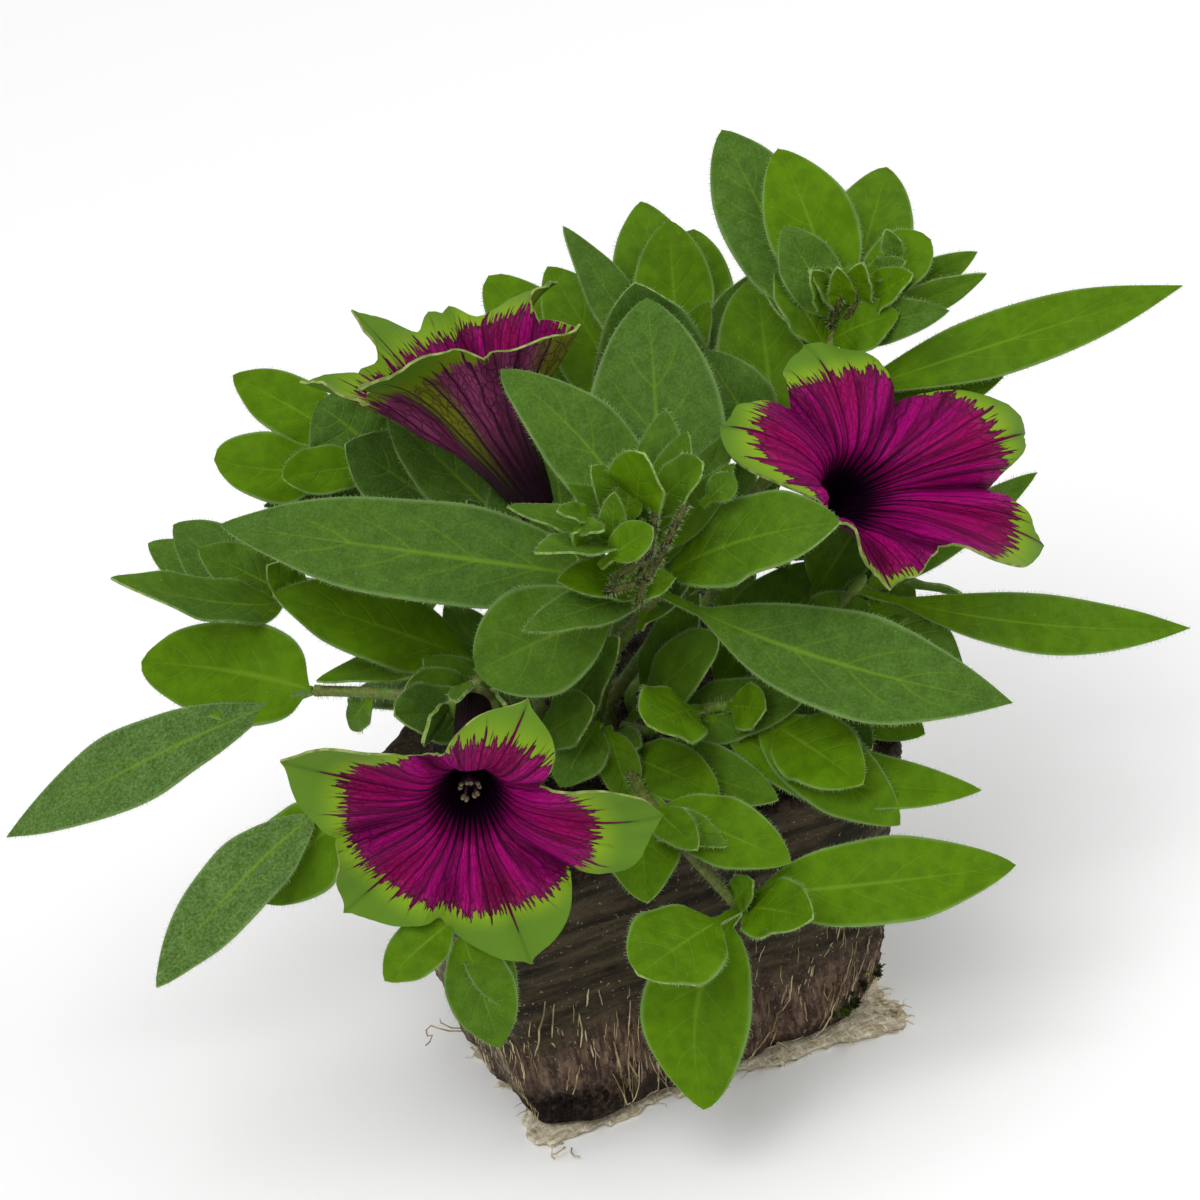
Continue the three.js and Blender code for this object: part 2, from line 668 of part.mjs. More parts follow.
function corolla(flower) {
  const rings = [];
  for (let row = -TUBE_RADII.length; row < LIMB_ROWS.length; row++) {
    const ring = [];
    for (let column = 0; column < AROUND; column++) {
      ring.push(corollaPoint(flower, column, row));
    }
    rings.push(ring);
  }
  const normals = rings.map((ring, row) =>
    ring.map((_, column) => {
      const next = ring[(column + 1) % AROUND];
      const before = ring[(column + AROUND - 1) % AROUND];
      const above = rings[Math.min(row + 1, rings.length - 1)][column];
      const below = rings[Math.max(row - 1, 0)][column];
      const around = next.clone().sub(before);
      return around.cross(above.clone().sub(below)).normalize();
    }),
  );
  const shifted = (side) =>
    rings.map((ring, row) =>
      ring.map((point, column) =>
        point.clone().addScaledVector(normals[row][column], (side * PETAL_THICK) / 2),
      ),
    );
  const outer = shifted(1);
  const inner = shifted(-1);
  for (const point of inner[0]) {
    point.addScaledVector(flower.axis, PETAL_THICK);
  }
  return toSolid(skinRings([...outer, ...inner.reverse()]));
}

// The settling of the leaves. Each tip slides along its own sight line, so
// the leaf keeps its place as seen, until leaves that pass each other are
// clear, with the higher layer before the lower, and none meets a petal, a
// stem or the root ball.
const CLEAR = 2.2; // between blades of different stems
const CLEAR_OWN = 1.1; // between blades of one stem
const NEAR = 3.1; // how close two places are seen to count as passing
const PETAL_NEAR = 4.5;
const ROUNDS = 60;
const MOST_SLIDE = 14;
const LIFT_OFF = 1; // a step away from the root ball and the floor
const SAMPLE_T = [0.3, 0.44, 0.58, 0.72, 0.86, 1];
const SAMPLE_SIDES = [-1, 0, 1];
const STEM_PLACES = 25;

const isInBlock = (point) => {
  const depth = SOIL_TOP + 1.6 - point.z;
  const half = BALL_TOP / 2 + BALL_LEAN - Math.max(0, depth) * 0.2 + 1.8;
  return depth > 0 && Math.max(Math.abs(point.x), Math.abs(point.y)) < half;
};

function sampleLeaf(leaf) {
  leaf.samples = SAMPLE_T.flatMap((t) =>
    SAMPLE_SIDES.map((side) => {
      const point = leafPoint(leaf, t, side);
      const [right, up, toward] = asSeen(point);
      return { t, right, up, toward, low: isInBlock(point) || point.z < 1.6 };
    }),
  );
  const places = leaf.samples.map(({ right, up }) => new THREE.Vector2(right, up));
  leaf.extent = new THREE.Box2().setFromPoints(places).expandByScalar(NEAR / 2);
}

// Petals and stems don't move, so the leaves give way to them
const seenPlace = (point, owner) => {
  const [right, up, toward] = asSeen(point);
  return { place: new THREE.Vector2(right, up), toward, ...owner };
};

const petalPlaces = [];
for (const flower of FLOWERS) {
  for (let column = 0; column < AROUND; column++) {
    for (let row = -TUBE_RADII.length; row < LIMB_ROWS.length; row++) {
      const point = corollaPoint(flower, column, row);
      petalPlaces.push(seenPlace(point, { layer: flower.layer }));
    }
  }
}
const stemPlaces = [...Object.values(SHOOTS), ...FLOWERS].flatMap((shoot) => {
  const points = shoot.curve.getSpacedPoints(STEM_PLACES);
  return points.slice(STEM_PLACES / 5).map((point) => seenPlace(point, { shoot }));
});

const leaves = Object.values(SHOOTS).flatMap((shoot) => shoot.leaves);
for (const leaf of leaves) {
  leaf.wanted = leaf.toward;
}

// The widest overlap in depth of two leaves that pass each other
function worstPass(front, back, clear) {
  let worst = null;
  for (const a of front.samples) {
    for (const b of back.samples) {
      if (clear === CLEAR_OWN && a.t + b.t < 1) continue;
      const apart = Math.hypot(a.right - b.right, a.up - b.up);
      const lack = clear - (a.toward - b.toward);
      if (apart < NEAR && lack > 0 && (!worst || lack > worst.lack)) {
        worst = { lack, tFront: a.t, tBack: b.t };
      }
    }
  }
  return worst;
}

// How far a leaf's tip has to move to clear petals or stems
function worstOf(leaf, places, reach) {
  let worst = 0;
  const near = places.filter(
    ({ place, shoot }) => shoot !== leaf.shoot && leaf.extent.distanceToPoint(place) < reach,
  );
  for (const sample of leaf.samples) {
    for (const { place, toward, layer } of near) {
      const apart = Math.hypot(sample.right - place.x, sample.up - place.y);
      if (apart > reach) continue;
      const depth = sample.toward - toward;
      const before = layer ? leaf.layer > layer : depth > 0;
      const lack = before ? Math.max(0, CLEAR - depth) : Math.min(0, -CLEAR - depth);
      if (Math.abs(lack) / sample.t > Math.abs(worst)) worst = lack / sample.t;
    }
  }
  return worst;
}

function settleOnce() {
  for (const leaf of leaves) {
    leaf.push = 0.03 * (leaf.wanted - leaf.toward);
    sampleLeaf(leaf);
  }
  leaves.forEach((first, i) => {
    for (const second of leaves.slice(i + 1)) {
      if (!first.extent.intersectsBox(second.extent)) continue;
      const [front, back] = first.layer >= second.layer ? [first, second] : [second, first];
      const clear = front.shoot === back.shoot ? CLEAR_OWN : CLEAR;
      const pass = worstPass(front, back, clear);
      if (!pass) continue;
      const share = pass.lack / (pass.tFront ** 2 + pass.tBack ** 2);
      front.push += 0.45 * share * pass.tFront;
      back.push -= 0.45 * share * pass.tBack;
    }
  });
  for (const leaf of leaves) {
    const petals = worstOf(leaf, petalPlaces, PETAL_NEAR);
    leaf.push += 0.6 * (petals || worstOf(leaf, stemPlaces, NEAR));
    if (leaf.samples.some(({ low }) => low)) leaf.push = LIFT_OFF;
    const slid = leaf.toward + THREE.MathUtils.clamp(leaf.push, -1.5, 1.5);
    const { wanted } = leaf;
    leaf.toward = THREE.MathUtils.clamp(slid, wanted - MOST_SLIDE, wanted + MOST_SLIDE);
    aimLeaf(leaf);
  }
}

for (let round = 0; round < ROUNDS; round++) {
  settleOnce();
}

// A bud or an anther: a small closed spindle
function bud(centre, along, radius, sides = 5) {
  const start = squareTo(along, v3(1, 0.3, 0.2));
  const outline = [[-1.6, 0.25], [0, 1], [1.8, 0.15]];
  return toSolid(
    skinRings(
      outline.map(([rise, wide]) => {
        const middle = centre.clone().addScaledVector(along, rise * radius);
        return ringRound(middle, along, start, wide * radius, sides);
      }),
    ),
  );
}

// One leafy shoot: its stem, its leaves and its bud, grown together
function leafyShoot(shoot) {
  const straight = FOOT_DEPTH + NECK_RISE;
  const pieces = [stem(shoot.curve, STEM_RADIUS, STALK_RADIUS, straight)];
  if (shoot.bud) {
    const along = shoot.curve.getTangentAt(1);
    const centre = shoot.curve.getPointAt(1).addScaledVector(along, shoot.bud);
    pieces.push(bud(centre, along, shoot.bud));
  }
  return fuse([...pieces, ...shoot.leaves.map(blade)]);
}

// One flower stalk, which ends in a small cup and its five narrow sepals
const CUP_OUTLINE = [[3.2, 0.8], [1.8, 2.6], [0, 4]];
const SEPAL_FOOT = 3.7; // from the axis
const SEPAL_SPREAD = 7.5;

function flowerStalk(flower) {
  const { axis, east, north } = flower;
  const straight = FOOT_DEPTH + NECK_RISE;
  const pieces = [stem(flower.curve, STALK_RADIUS, STALK_RADIUS, straight)];
  const cupEnd = flower.base.clone().addScaledVector(axis, -REST_GAP - 0.1);
  const cup = CUP_OUTLINE.map(([below, radius]) => {
    const centre = cupEnd.clone().addScaledVector(axis, -below);
    return ringRound(centre, axis, east, radius, 10);
  });
  pieces.push(toSolid(skinRings(cup)));
  for (let i = 0; i < 5; i++) {
    const turn = ((i + 0.5) / 5) * 2 * Math.PI;
    const outward = east
      .clone()
      .multiplyScalar(Math.cos(turn))
      .addScaledVector(north, Math.sin(turn));
    const base = cupEnd
      .clone()
      .addScaledVector(axis, -1.2)
      .addScaledVector(outward, SEPAL_FOOT);
    const tip = cupEnd
      .clone()
      .addScaledVector(axis, SEPAL_LENGTH)
      .addScaledVector(outward, SEPAL_SPREAD);
    const chord = tip.clone().sub(base).normalize();
    const across = chord.clone().cross(outward).normalize();
    const normal = across.clone().cross(chord);
    const form = { arch: 0.5, bow: 0, width: 3, kind: "oval", order: i };
    const sepal = { base, tip, across, normal, ...form };
    pieces.push(blade(sepal));
  }
  return fuse(pieces);
}

// The stamens of one flower: filaments that rise together and part below
// the throat, each with its anther
const FILAMENT = 0.45;
const ANTHER = 0.8;

function stamens(flower) {
  const onAxis = (distance) =>
    flower.base.clone().addScaledVector(flower.axis, distance);
  const split = flower.tube * 0.7;
  const column = new THREE.LineCurve3(onAxis(PETAL_THICK * 1.5 + REST_GAP), onAxis(split + 0.6));
  const pieces = [stem(column, 2 * FILAMENT, 2 * FILAMENT)];
  for (let i = 0; i < 5; i++) {
    const turn = ((i + 0.3) / 5) * 2 * Math.PI;
    const end = onAxis(flower.tube - 1.5 + (i % 2))
      .addScaledVector(flower.east, Math.cos(turn) * 2.3)
      .addScaledVector(flower.north, Math.sin(turn) * 2.3);
    const filament = new THREE.LineCurve3(onAxis(split), end);
    pieces.push(stem(filament, FILAMENT, FILAMENT, 0, 3));
    pieces.push(bud(end, flower.axis, ANTHER, 3));
  }
  return fuse(pieces);
}

// The root ball: a square block, narrower below, with strands of root that
// stand out of its lower half and the furrows of the cell above them
const BALL_AROUND = 32;
const BALL_ROWS = 6;
const STRANDS = 17;
const STRAND_RELIEF = 0.9;
const FURROW_RELIEF = 0.35;

function ballRelief(share, turn) {
  const lower = THREE.MathUtils.smoothstep(0.62 - share, 0, 0.25);
  const lean = turn * STRANDS + share * 3.2;
  const strand = Math.sin(lean) + 0.6 * Math.sin(lean * 1.7 + 2);
  const furrow = Math.sin(share * 27 + Math.sin(turn * 3));
  const crumb = Math.sin(turn * 11 + share * 19);
  return (
    STRAND_RELIEF * lower * strand * 0.6 +
    FURROW_RELIEF * (1 - lower) * furrow +
    0.25 * crumb
  );
}

// The distance from the centre to the edge of a square with round corners
function squareEdge(half, power, turn) {
  const sum = Math.abs(Math.cos(turn)) ** power + Math.abs(Math.sin(turn)) ** power;
  return half / sum ** (1 / power);
}

// How worn the block is toward its back left corner, from 0 to 1
const WORN_IN = 8;
const WORN_DOWN = 9;
const wear = (turn) => Math.exp(-(((turn - 0.75 * Math.PI) / 0.36) ** 2));

function rootBall() {
  const foot = MAT_THICK + REST_GAP;
  const ringAt = (share, inset, rise) =>
    Array.from({ length: BALL_AROUND }, (_, i) => {
      const turn = (i / BALL_AROUND) * 2 * Math.PI;
      const side = THREE.MathUtils.lerp(BALL_FOOT, BALL_TOP, share);
      const relief = inset === 1 ? ballRelief(share, turn) : 0;
      const leant = BALL_LEAN * share * Math.cos(turn);
      const full = (squareEdge(side / 2, BALL_POWER, turn) + leant + relief) * inset;
      const worn = wear(turn) * THREE.MathUtils.smoothstep(inset, 0.5, 0.9);
      const radius = full - WORN_IN * worn;
      return v3(
        radius * Math.cos(turn),
        radius * Math.sin(turn),
        foot + BALL_HEIGHT * share + rise - WORN_DOWN * worn * share ** 4,
      );
    });
  const rings = [ringAt(0, 0.93, 0)];
  for (let row = 0; row <= BALL_ROWS; row++) {
    const share = 0.03 + (0.95 * row) / BALL_ROWS;
    rings.push(ringAt(share, 1, 0));
  }
  rings.push(ringAt(1, 0.94, 0), ringAt(1, 0.6, -0.6), ringAt(1, 0.35, 0));
  const stands = [...Object.values(SHOOTS), ...FLOWERS];
  const holes = stands.map((shoot) => {
    const top = footOf(shoot).addScaledVector(UP, 3);
    const bottom = footOf(shoot).addScaledVector(UP, -FOOT_DEPTH - REST_GAP);
    const radius = (shoot.leaves ? STEM_RADIUS : STALK_RADIUS) + REST_GAP;
    const axis = new THREE.LineCurve3(bottom, top);
    return stem(axis, radius, radius, 0, 6);
  });
  return holes.reduce((ball, hole) => ball.subtract(hole), toSolid(skinRings(rings)));
}

// The root mat: matted pale roots under the ball, flat below, ragged outside
const MAT_AROUND = 40;
const MAT_ASIDE = 3; // it reaches further out at the right
const TORN_IN = 13; // and is torn off at the back left corner

function rootMat() {
  const ringAt = (inset, height) =>
    Array.from({ length: MAT_AROUND }, (_, i) => {
      const turn = (i / MAT_AROUND) * 2 * Math.PI;
      const ragged =
        1.3 * Math.sin(i * 2.4) + 1.1 * Math.sin(i * 1.3 + 1) + 1.2 * Math.sin(i * 0.37);
      const torn = TORN_IN * wear(turn);
      const aside = MAT_ASIDE * Math.cos(turn);
      const radius = squareEdge(MAT_SIDE / 2, MAT_POWER, turn) + ragged + aside - torn;
      return v3(radius * inset * Math.cos(turn), radius * inset * Math.sin(turn), height);
    });
  const rings = [
    ringAt(0.97, 0),
    ringAt(1, MAT_THICK * 0.45),
    ringAt(0.96, MAT_THICK * 0.9),
    ringAt(0.82, MAT_THICK),
  ];
  return toSolid(skinRings(rings));
}

// The whole plant
const plant = new THREE.Group();

function addNode(name, solid, color, roughness) {
  const material = new THREE.MeshStandardMaterial({ color, roughness, metalness: 0 });
  const mesh = new THREE.Mesh(toGeometry(solid), material);
  mesh.name = name;
  plant.add(mesh);
}

addNode("root_mat", rootMat(), 0xcdbfa3, 0.95);
addNode("root_ball", rootBall(), 0x4a4038, 0.95);
for (const [name, shoot] of Object.entries(SHOOTS)) {
  addNode(`shoot_${name}`, leafyShoot(shoot), 0x5d8a2c, 0.6);
}
FLOWERS.forEach((flower, i) => {
  addNode(`flower_stalk_${i + 1}`, flowerStalk(flower), 0x6d8f3a, 0.6);
  addNode(`corolla_${i + 1}`, corolla(flower), 0x9a1478, 0.5);
  addNode(`stamens_${i + 1}`, stamens(flower), 0x9aa068, 0.7);
});

export default plant;
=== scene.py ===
import math

import bpy
import numpy as np
from mathutils import Matrix, Quaternion, Vector, noise


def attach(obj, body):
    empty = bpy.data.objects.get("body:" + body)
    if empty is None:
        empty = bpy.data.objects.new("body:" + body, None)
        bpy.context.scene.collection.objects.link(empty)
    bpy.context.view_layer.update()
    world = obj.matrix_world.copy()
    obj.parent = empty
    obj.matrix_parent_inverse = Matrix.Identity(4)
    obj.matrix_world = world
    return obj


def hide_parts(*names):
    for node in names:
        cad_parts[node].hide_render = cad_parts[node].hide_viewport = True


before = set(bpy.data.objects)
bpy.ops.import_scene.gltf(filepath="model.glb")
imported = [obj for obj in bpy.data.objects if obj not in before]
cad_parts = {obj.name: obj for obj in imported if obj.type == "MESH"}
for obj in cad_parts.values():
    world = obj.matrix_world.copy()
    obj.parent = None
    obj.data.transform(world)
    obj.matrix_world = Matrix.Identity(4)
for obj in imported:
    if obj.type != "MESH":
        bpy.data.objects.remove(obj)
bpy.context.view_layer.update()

# Where the plant is looked at from: before it, a little to its left and above,
# with the head tilted. Leaves and flowers are laid out from there, in
# millimetres right and up of the crown and toward the viewer.
crown_high = 0.053
crown = Vector((0, 0, crown_high))
eye_far, picture_wide, sensor_wide = 0.8, 1200 / 6240, 36
look_turn, look_rise, head_tilt = (math.radians(angle) for angle in (-15, 30, 13))
flat = math.cos(look_rise)
toward = Vector((math.sin(look_turn) * flat, -math.cos(look_turn) * flat, math.sin(look_rise)))
rightward = Vector((math.cos(look_turn), math.sin(look_turn), 0))
rightward.rotate(Quaternion(toward, -head_tilt))
upward = toward.cross(rightward)
eye = crown + toward * eye_far


def seen(right, up, near):
    """A place seen so far right and up of the crown, brought toward the eye."""
    shrink = (800 - near) / 800
    return crown + 0.001 * (rightward * right * shrink + upward * up * shrink + toward * near)


back = (eye - seen(1.92, 21, 0)).normalized()
across_picture = upward.cross(back).normalized()
lens = bpy.data.cameras.new("camera")
lens.sensor_width = sensor_wide
lens.lens = sensor_wide * eye_far / picture_wide
lens.clip_start = 0.01
camera = bpy.data.objects.new("camera", lens)
camera_turn = Matrix((across_picture, back.cross(across_picture), back)).transposed().to_4x4()
camera.matrix_world = Matrix.Translation(eye) @ camera_turn
bpy.context.collection.objects.link(camera)
bpy.context.scene.camera = camera

# The root mat: pale roots that grew flat along the tray's floor and matted
# into a thin felt, ragged at its edge, with loose fibres all round. The root
# ball stands on it and it is grown into the ball's foot.
rng = np.random.default_rng(7)
mat_thick, mat_half, thin_from = 0.0024, 31, 0.84
worn_turn, corner_turn = 0.75 * math.pi, -0.62
fibre_count, corner_fibre_count, fibre_steps = 420, 100, 5


def square_edge(half, power, turn):
    """How far the edge of a square with round corners is from its centre."""
    bulk = np.abs(np.cos(turn)) ** power + np.abs(np.sin(turn)) ** power
    return half / bulk ** (1 / power)


def wear(turn):
    """1 toward the back left corner, which has worn away, and 0 elsewhere."""
    return np.exp(-(((turn % math.tau - worn_turn) / 0.36) ** 2))


def mat_edge(turn):
    """The felt's ragged outline, in metres from the middle."""
    i = turn / math.tau * 40
    ragged = 1.3 * np.sin(i * 2.4) + 1.1 * np.sin(i * 1.3 + 1) + 1.2 * np.sin(i * 0.37)
    fine = 0.35 * np.sin(i * 9.1) + 0.3 * np.sin(i * 14.3 + 2)
    torn = 3 * np.cos(turn) - 13 * wear(turn)
    return (square_edge(mat_half, 14, turn) + ragged + fine + torn) * 0.001


def pick(*pieces):
    """Selects these pieces alone, with the first one active."""
    bpy.ops.object.select_all(action="DESELECT")
    for piece in reversed(pieces):
        piece.select_set(True)
        bpy.context.view_layer.objects.active = piece


def square_net(across, along):
    """A flat net from -1 to 1, to shape a skin from."""
    pick()
    bpy.ops.mesh.primitive_grid_add(x_subdivisions=across, y_subdivisions=along, size=2)
    return bpy.context.object


def places_of(piece):
    """The places of a piece's corners."""
    spots = np.empty(len(piece.data.vertices) * 3)
    piece.data.vertices.foreach_get("co", spots)
    return spots.reshape(-1, 3)


def put_places(piece, spots):
    """Moves a piece's corners to new places."""
    piece.data.vertices.foreach_set("co", np.asarray(spots, float).ravel())
    piece.data.update()


def turn_and_reach(spots):
    """The turn about the middle, and how far out to the edge of a square blank."""
    return np.arctan2(spots[:, 1], spots[:, 0]), np.abs(spots[:, :2]).max(axis=1)


def thicken(piece, thickness, lies=0, weights=""):
    """Gives a skin its thickness, with its second finish below, its third on the rim."""
    wall = piece.modifiers.new("thickness", "SOLIDIFY")
    wall.thickness = thickness
    wall.offset = lies
    wall.vertex_group = weights
    wall.material_offset = 1
    wall.material_offset_rim = 2
    pick(piece)
    bpy.ops.object.modifier_apply(modifier=wall.name)


def finish_piece(piece, name, slot, *nodes):
    """Names a finished piece, fixes it to the plant and takes its CAD nodes' place."""
    piece.name = name
    piece.data.name = name
    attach(piece, "root")
    if nodes:
        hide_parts(*nodes)


class Grade:
    """What varies over a finish, as a node's output, worked with like a number."""

    def __init__(self, output):
        self.output = output

    def __add__(self, other):
        return worked("ADD", self, other)

    def __sub__(self, other):
        return worked("SUBTRACT", self, other)

    def __mul__(self, other):
        return worked("MULTIPLY", self, other)

    def __truediv__(self, other):
        return worked("DIVIDE", self, other)

    def __abs__(self):
        return worked("ABSOLUTE", self)

    def part(self, axis):
        """Its x, y or z part."""
        return node_of("SeparateXYZ", {0: self}, axis)


def node_of(kind, inputs, output=0, **settings):
    """Adds a node, fed with grades and plain values, and gives its output."""
    tree = next(value for value in inputs.values() if isinstance(value, Grade)).output.id_data
    node = tree.nodes.new("ShaderNode" + kind)
    for setting, value in settings.items():
        setattr(node, setting, value)
    for socket, value in inputs.items():
        if isinstance(value, Grade):
            tree.links.new(value.output, node.inputs[socket])
        else:
            node.inputs[socket].default_value = value
    return Grade(node.outputs[output])


def worked(operation, *values):
    """One step of arithmetic on grades and numbers."""
    return node_of("Math", dict(enumerate(values)), operation=operation)


def ease(value, low, high, out_low=0.0, out_high=1.0):
    """A soft step from one number to another."""
    inputs = {0: value, 1: low, 2: high, 3: out_low, 4: out_high}
    return node_of("MapRange", inputs, interpolation_type="SMOOTHSTEP")


def tint(amount, first, second, way="MIX"):
    """Mixes two colours, each a grade or its red, green and blue from 0 to 255."""
    inputs = {0: amount}
    for socket, colour in ((6, first), (7, second)):
        if not isinstance(colour, Grade):
            light = (((c / 255 + 0.055) / 1.055) ** 2.4 if c > 10 else c / 3294 for c in colour)
            colour = (*light, 1)
        inputs[socket] = colour
    return node_of("Mix", inputs, 2, data_type="RGBA", blend_type=way)


def fade(value, low, high, first, second, most=1.0):
    """From one colour to another, as a value goes from low to high."""
    return tint(ease(value, low, high, 0.0, most), first, second)


def speckle(place, size, detail=3.0, rough=0.55, stretch=(1, 1, 1)):
    """Noise with lumps of a size, drawn out along an axis."""
    mapped = node_of("Mapping", {"Vector": place, "Scale": stretch})
    inputs = {"Vector": mapped, "Scale": 1 / size, "Detail": detail, "Roughness": rough}
    return node_of("TexNoise", inputs)


class Finish:
    """A material, painted by where on the plant or on its map a spot lies."""

    def __init__(self, name, rough, shine, **others):
        self.material = bpy.data.materials.new(name)
        self.material.use_nodes = True
        self.tree = self.material.node_tree
        self.shader = self.tree.nodes["Principled BSDF"]
        for socket, value in {"Roughness": rough, "Specular_IOR_Level": shine, **others}.items():
            self.shader.inputs[socket.replace("_", " ")].default_value = value
        coords = self.tree.nodes.new("ShaderNodeTexCoord")
        self.place, self.map = (Grade(coords.outputs[kind]) for kind in ("Object", "UV"))

    def own(self, name):
        """A number that each corner of the piece carries."""
        node = self.tree.nodes.new("ShaderNodeAttribute")
        node.attribute_name = name
        return Grade(node.outputs["Fac"])

    def paint(self, colour, height=None, depth=0):
        """Gives it its colour, and a fine relief of a depth in metres."""
        self.tree.links.new(colour.output, self.shader.inputs["Base Color"])
        if depth:
            bump = node_of("Bump", {"Height": height, "Distance": depth, "Strength": 1.0})
            self.tree.links.new(bump.output, self.shader.inputs["Normal"])


def mottled(name, rough, shine, lump, low, high, first, second, detail=3, grain=0, depth=0):
    """A finish in two colours, in lumps of a size, raised by them or by a finer grain."""
    finish = Finish(name, rough, shine)
    lumps = speckle(finish.place, lump, detail)
    height = speckle(finish.place, grain) if grain else lumps
    finish.paint(fade(lumps, low, high, first, second), height, depth)
    return finish


def strands(lines, finish, sides=0):
    """Fibres along lines of (place, radius), as one mesh of slim closed tubes."""
    curve = bpy.data.curves.new("strands", "CURVE")
    curve.dimensions = "3D"
    curve.bevel_depth = 1
    curve.bevel_resolution = sides
    curve.use_fill_caps = True
    for line in lines:
        spline = curve.splines.new("POLY")
        spline.points.add(len(line) - 1)
        for point, (place, radius) in zip(spline.points, line):
            point.co = (*place, 1)
            point.radius = radius
    piece = bpy.data.objects.new("strands", curve)
    bpy.context.collection.objects.link(piece)
    pick(piece)
    bpy.ops.object.convert(target="MESH")
    bpy.ops.object.shade_smooth()
    piece.data.materials.clear()
    piece.data.materials.append(finish.material)
    return piece


felt = square_net(110, 110)
spots = places_of(felt)
turn, reach = turn_and_reach(spots)
turn %= math.tau
out = reach * mat_edge(turn)
spots[:, 0] = out * np.cos(turn)
spots[:, 1] = out * np.sin(turn)
for i, (x, y, _) in enumerate(spots):
    lumps = noise.fractal(Vector((x, y, 0)) * 260, 0.8, 2.1, 4)
    thin = max(0.0, reach[i] - thin_from) / (1 - thin_from)
    spots[i, 2] = mat_thick * (1 - 0.55 * thin**1.5) + 0.0003 * lumps * (1 - 0.3 * thin) - 0.0002
put_places(felt, spots)
thicken(felt, mat_thick * 0.9, -1)
spots = places_of(felt)
spots[:, 2] = np.clip(spots[:, 2], 0, None)
put_places(felt, spots)
bpy.ops.object.shade_smooth()

felt_finish = Finish("root_felt", 0.95, 0.2)
threads = speckle(felt_finish.place, 0.0007, 6, 0.7, (1, 0.25, 1))
cross_threads = speckle(felt_finish.place, 0.0008, 6, 0.7, (0.25, 1, 1))
weave = worked("MAXIMUM", threads, cross_threads)
stain = speckle(felt_finish.place, 0.009, 4)
pale = fade(weave, 0.42, 0.7, (168, 154, 124), (248, 240, 218))
felt_finish.paint(fade(stain, 0.54, 0.72, pale, (126, 110, 84), 0.6), weave, 0.0006)
felt.data.materials.append(felt_finish.material)
finish_piece(felt, "root_felt_pad", "root_felt", "root_mat")

cream, dark_cream = (214, 200, 160), (150, 130, 96)
fibre_finish = mottled("root_fibre", 0.8, 0.3, 0.006, 0.38, 0.62, dark_cream, cream, 3, 0.0004, 0.0001)
lines = []
for order in range(fibre_count + corner_fibre_count):
    at_corner = order >= fibre_count
    turn = rng.normal(corner_turn, 0.13) if at_corner else rng.uniform(0, math.tau)
    out = rng.uniform(0.86, 0.99) * mat_edge(turn % math.tau)
    place = Vector((out * math.cos(turn), out * math.sin(turn), rng.uniform(0.0005, 0.0022)))
    heading = turn + rng.normal(0, 0.9)
    line = []
    step = rng.uniform(0.0003, 0.0009)
    radius = rng.uniform(0.00005, 0.0003 if at_corner else 0.00014)
    for k in range(fibre_steps):
        line.append((place.copy(), radius * (1 - 0.15 * k)))
        heading += rng.normal(0, 0.5)
        place += step * Vector((math.cos(heading), math.sin(heading), rng.normal(0, 0.25)))
        place.z = max(radius, place.z)
    lines.append(line)
finish_piece(strands(lines, fibre_finish), "root_felt_fibres", "root_felt")

# The root ball: peat held together by roots, with the shape of the tray's
# square cell. It is smooth, dark and streaked where the cell's wall pressed
# it, and pale roots run down its lower half.
ball_foot, ball_rise = 0.0028, 0.0502
ball_cuts, worn_deep, worn_low = 95, 0.008, 0.009
hollow_x, hollow_y, hollow_z = -24, -29, 6


def smooth_step(value):
    """A value held between 0 and 1, eased at both ends."""
    value = np.clip(value, 0, 1)
    return value * value * (3 - 2 * value)


def ball_relief(share, turn):
    """The big furrows and strands of the ball's side, in metres."""
    lower = smooth_step((0.62 - share) / 0.25)
    lean = turn * 17 + share * 3.2
    strand = np.sin(lean) + 0.6 * np.sin(lean * 1.7 + 2)
    furrow = np.sin(share * 27 + np.sin(turn * 3))
    crumb = np.sin(turn * 11 + share * 19)
    return 0.001 * (0.54 * lower * strand + 0.35 * (1 - lower) * furrow + 0.25 * crumb)


def ball_edge(share, turn):
    """The block's outline: wider above, and leaning a little to the right."""
    return square_edge(0.03 + 0.01 * share, 9, turn) + 0.0025 * share * np.cos(turn)


pick()
bpy.ops.mesh.primitive_cube_add(size=2)
ball = bpy.context.object
bpy.ops.object.mode_set(mode="EDIT")
bpy.ops.mesh.subdivide(number_cuts=ball_cuts)
bpy.ops.object.mode_set(mode="OBJECT")
spots = places_of(ball)
share = (spots[:, 2] + 1) / 2
turn, reach = turn_and_reach(spots)
tuck = 0.06 * np.clip((share - 0.96) / 0.04, 0, 1) ** 2 + 0.03 * np.clip((0.05 - share) / 0.05, 0, 1) ** 2
edge = ball_edge(share, turn) * (1 - tuck) + ball_relief(share, turn) * (reach > 0.999)
worn = wear(turn) * smooth_step((reach - 0.5) / 0.4)
spots[:, 0] = (reach * edge - worn_deep * worn) * np.cos(turn)
spots[:, 1] = (reach * edge - worn_deep * worn) * np.sin(turn)
spots[:, 2] = ball_foot + ball_rise * share - worn_low * worn * share**4
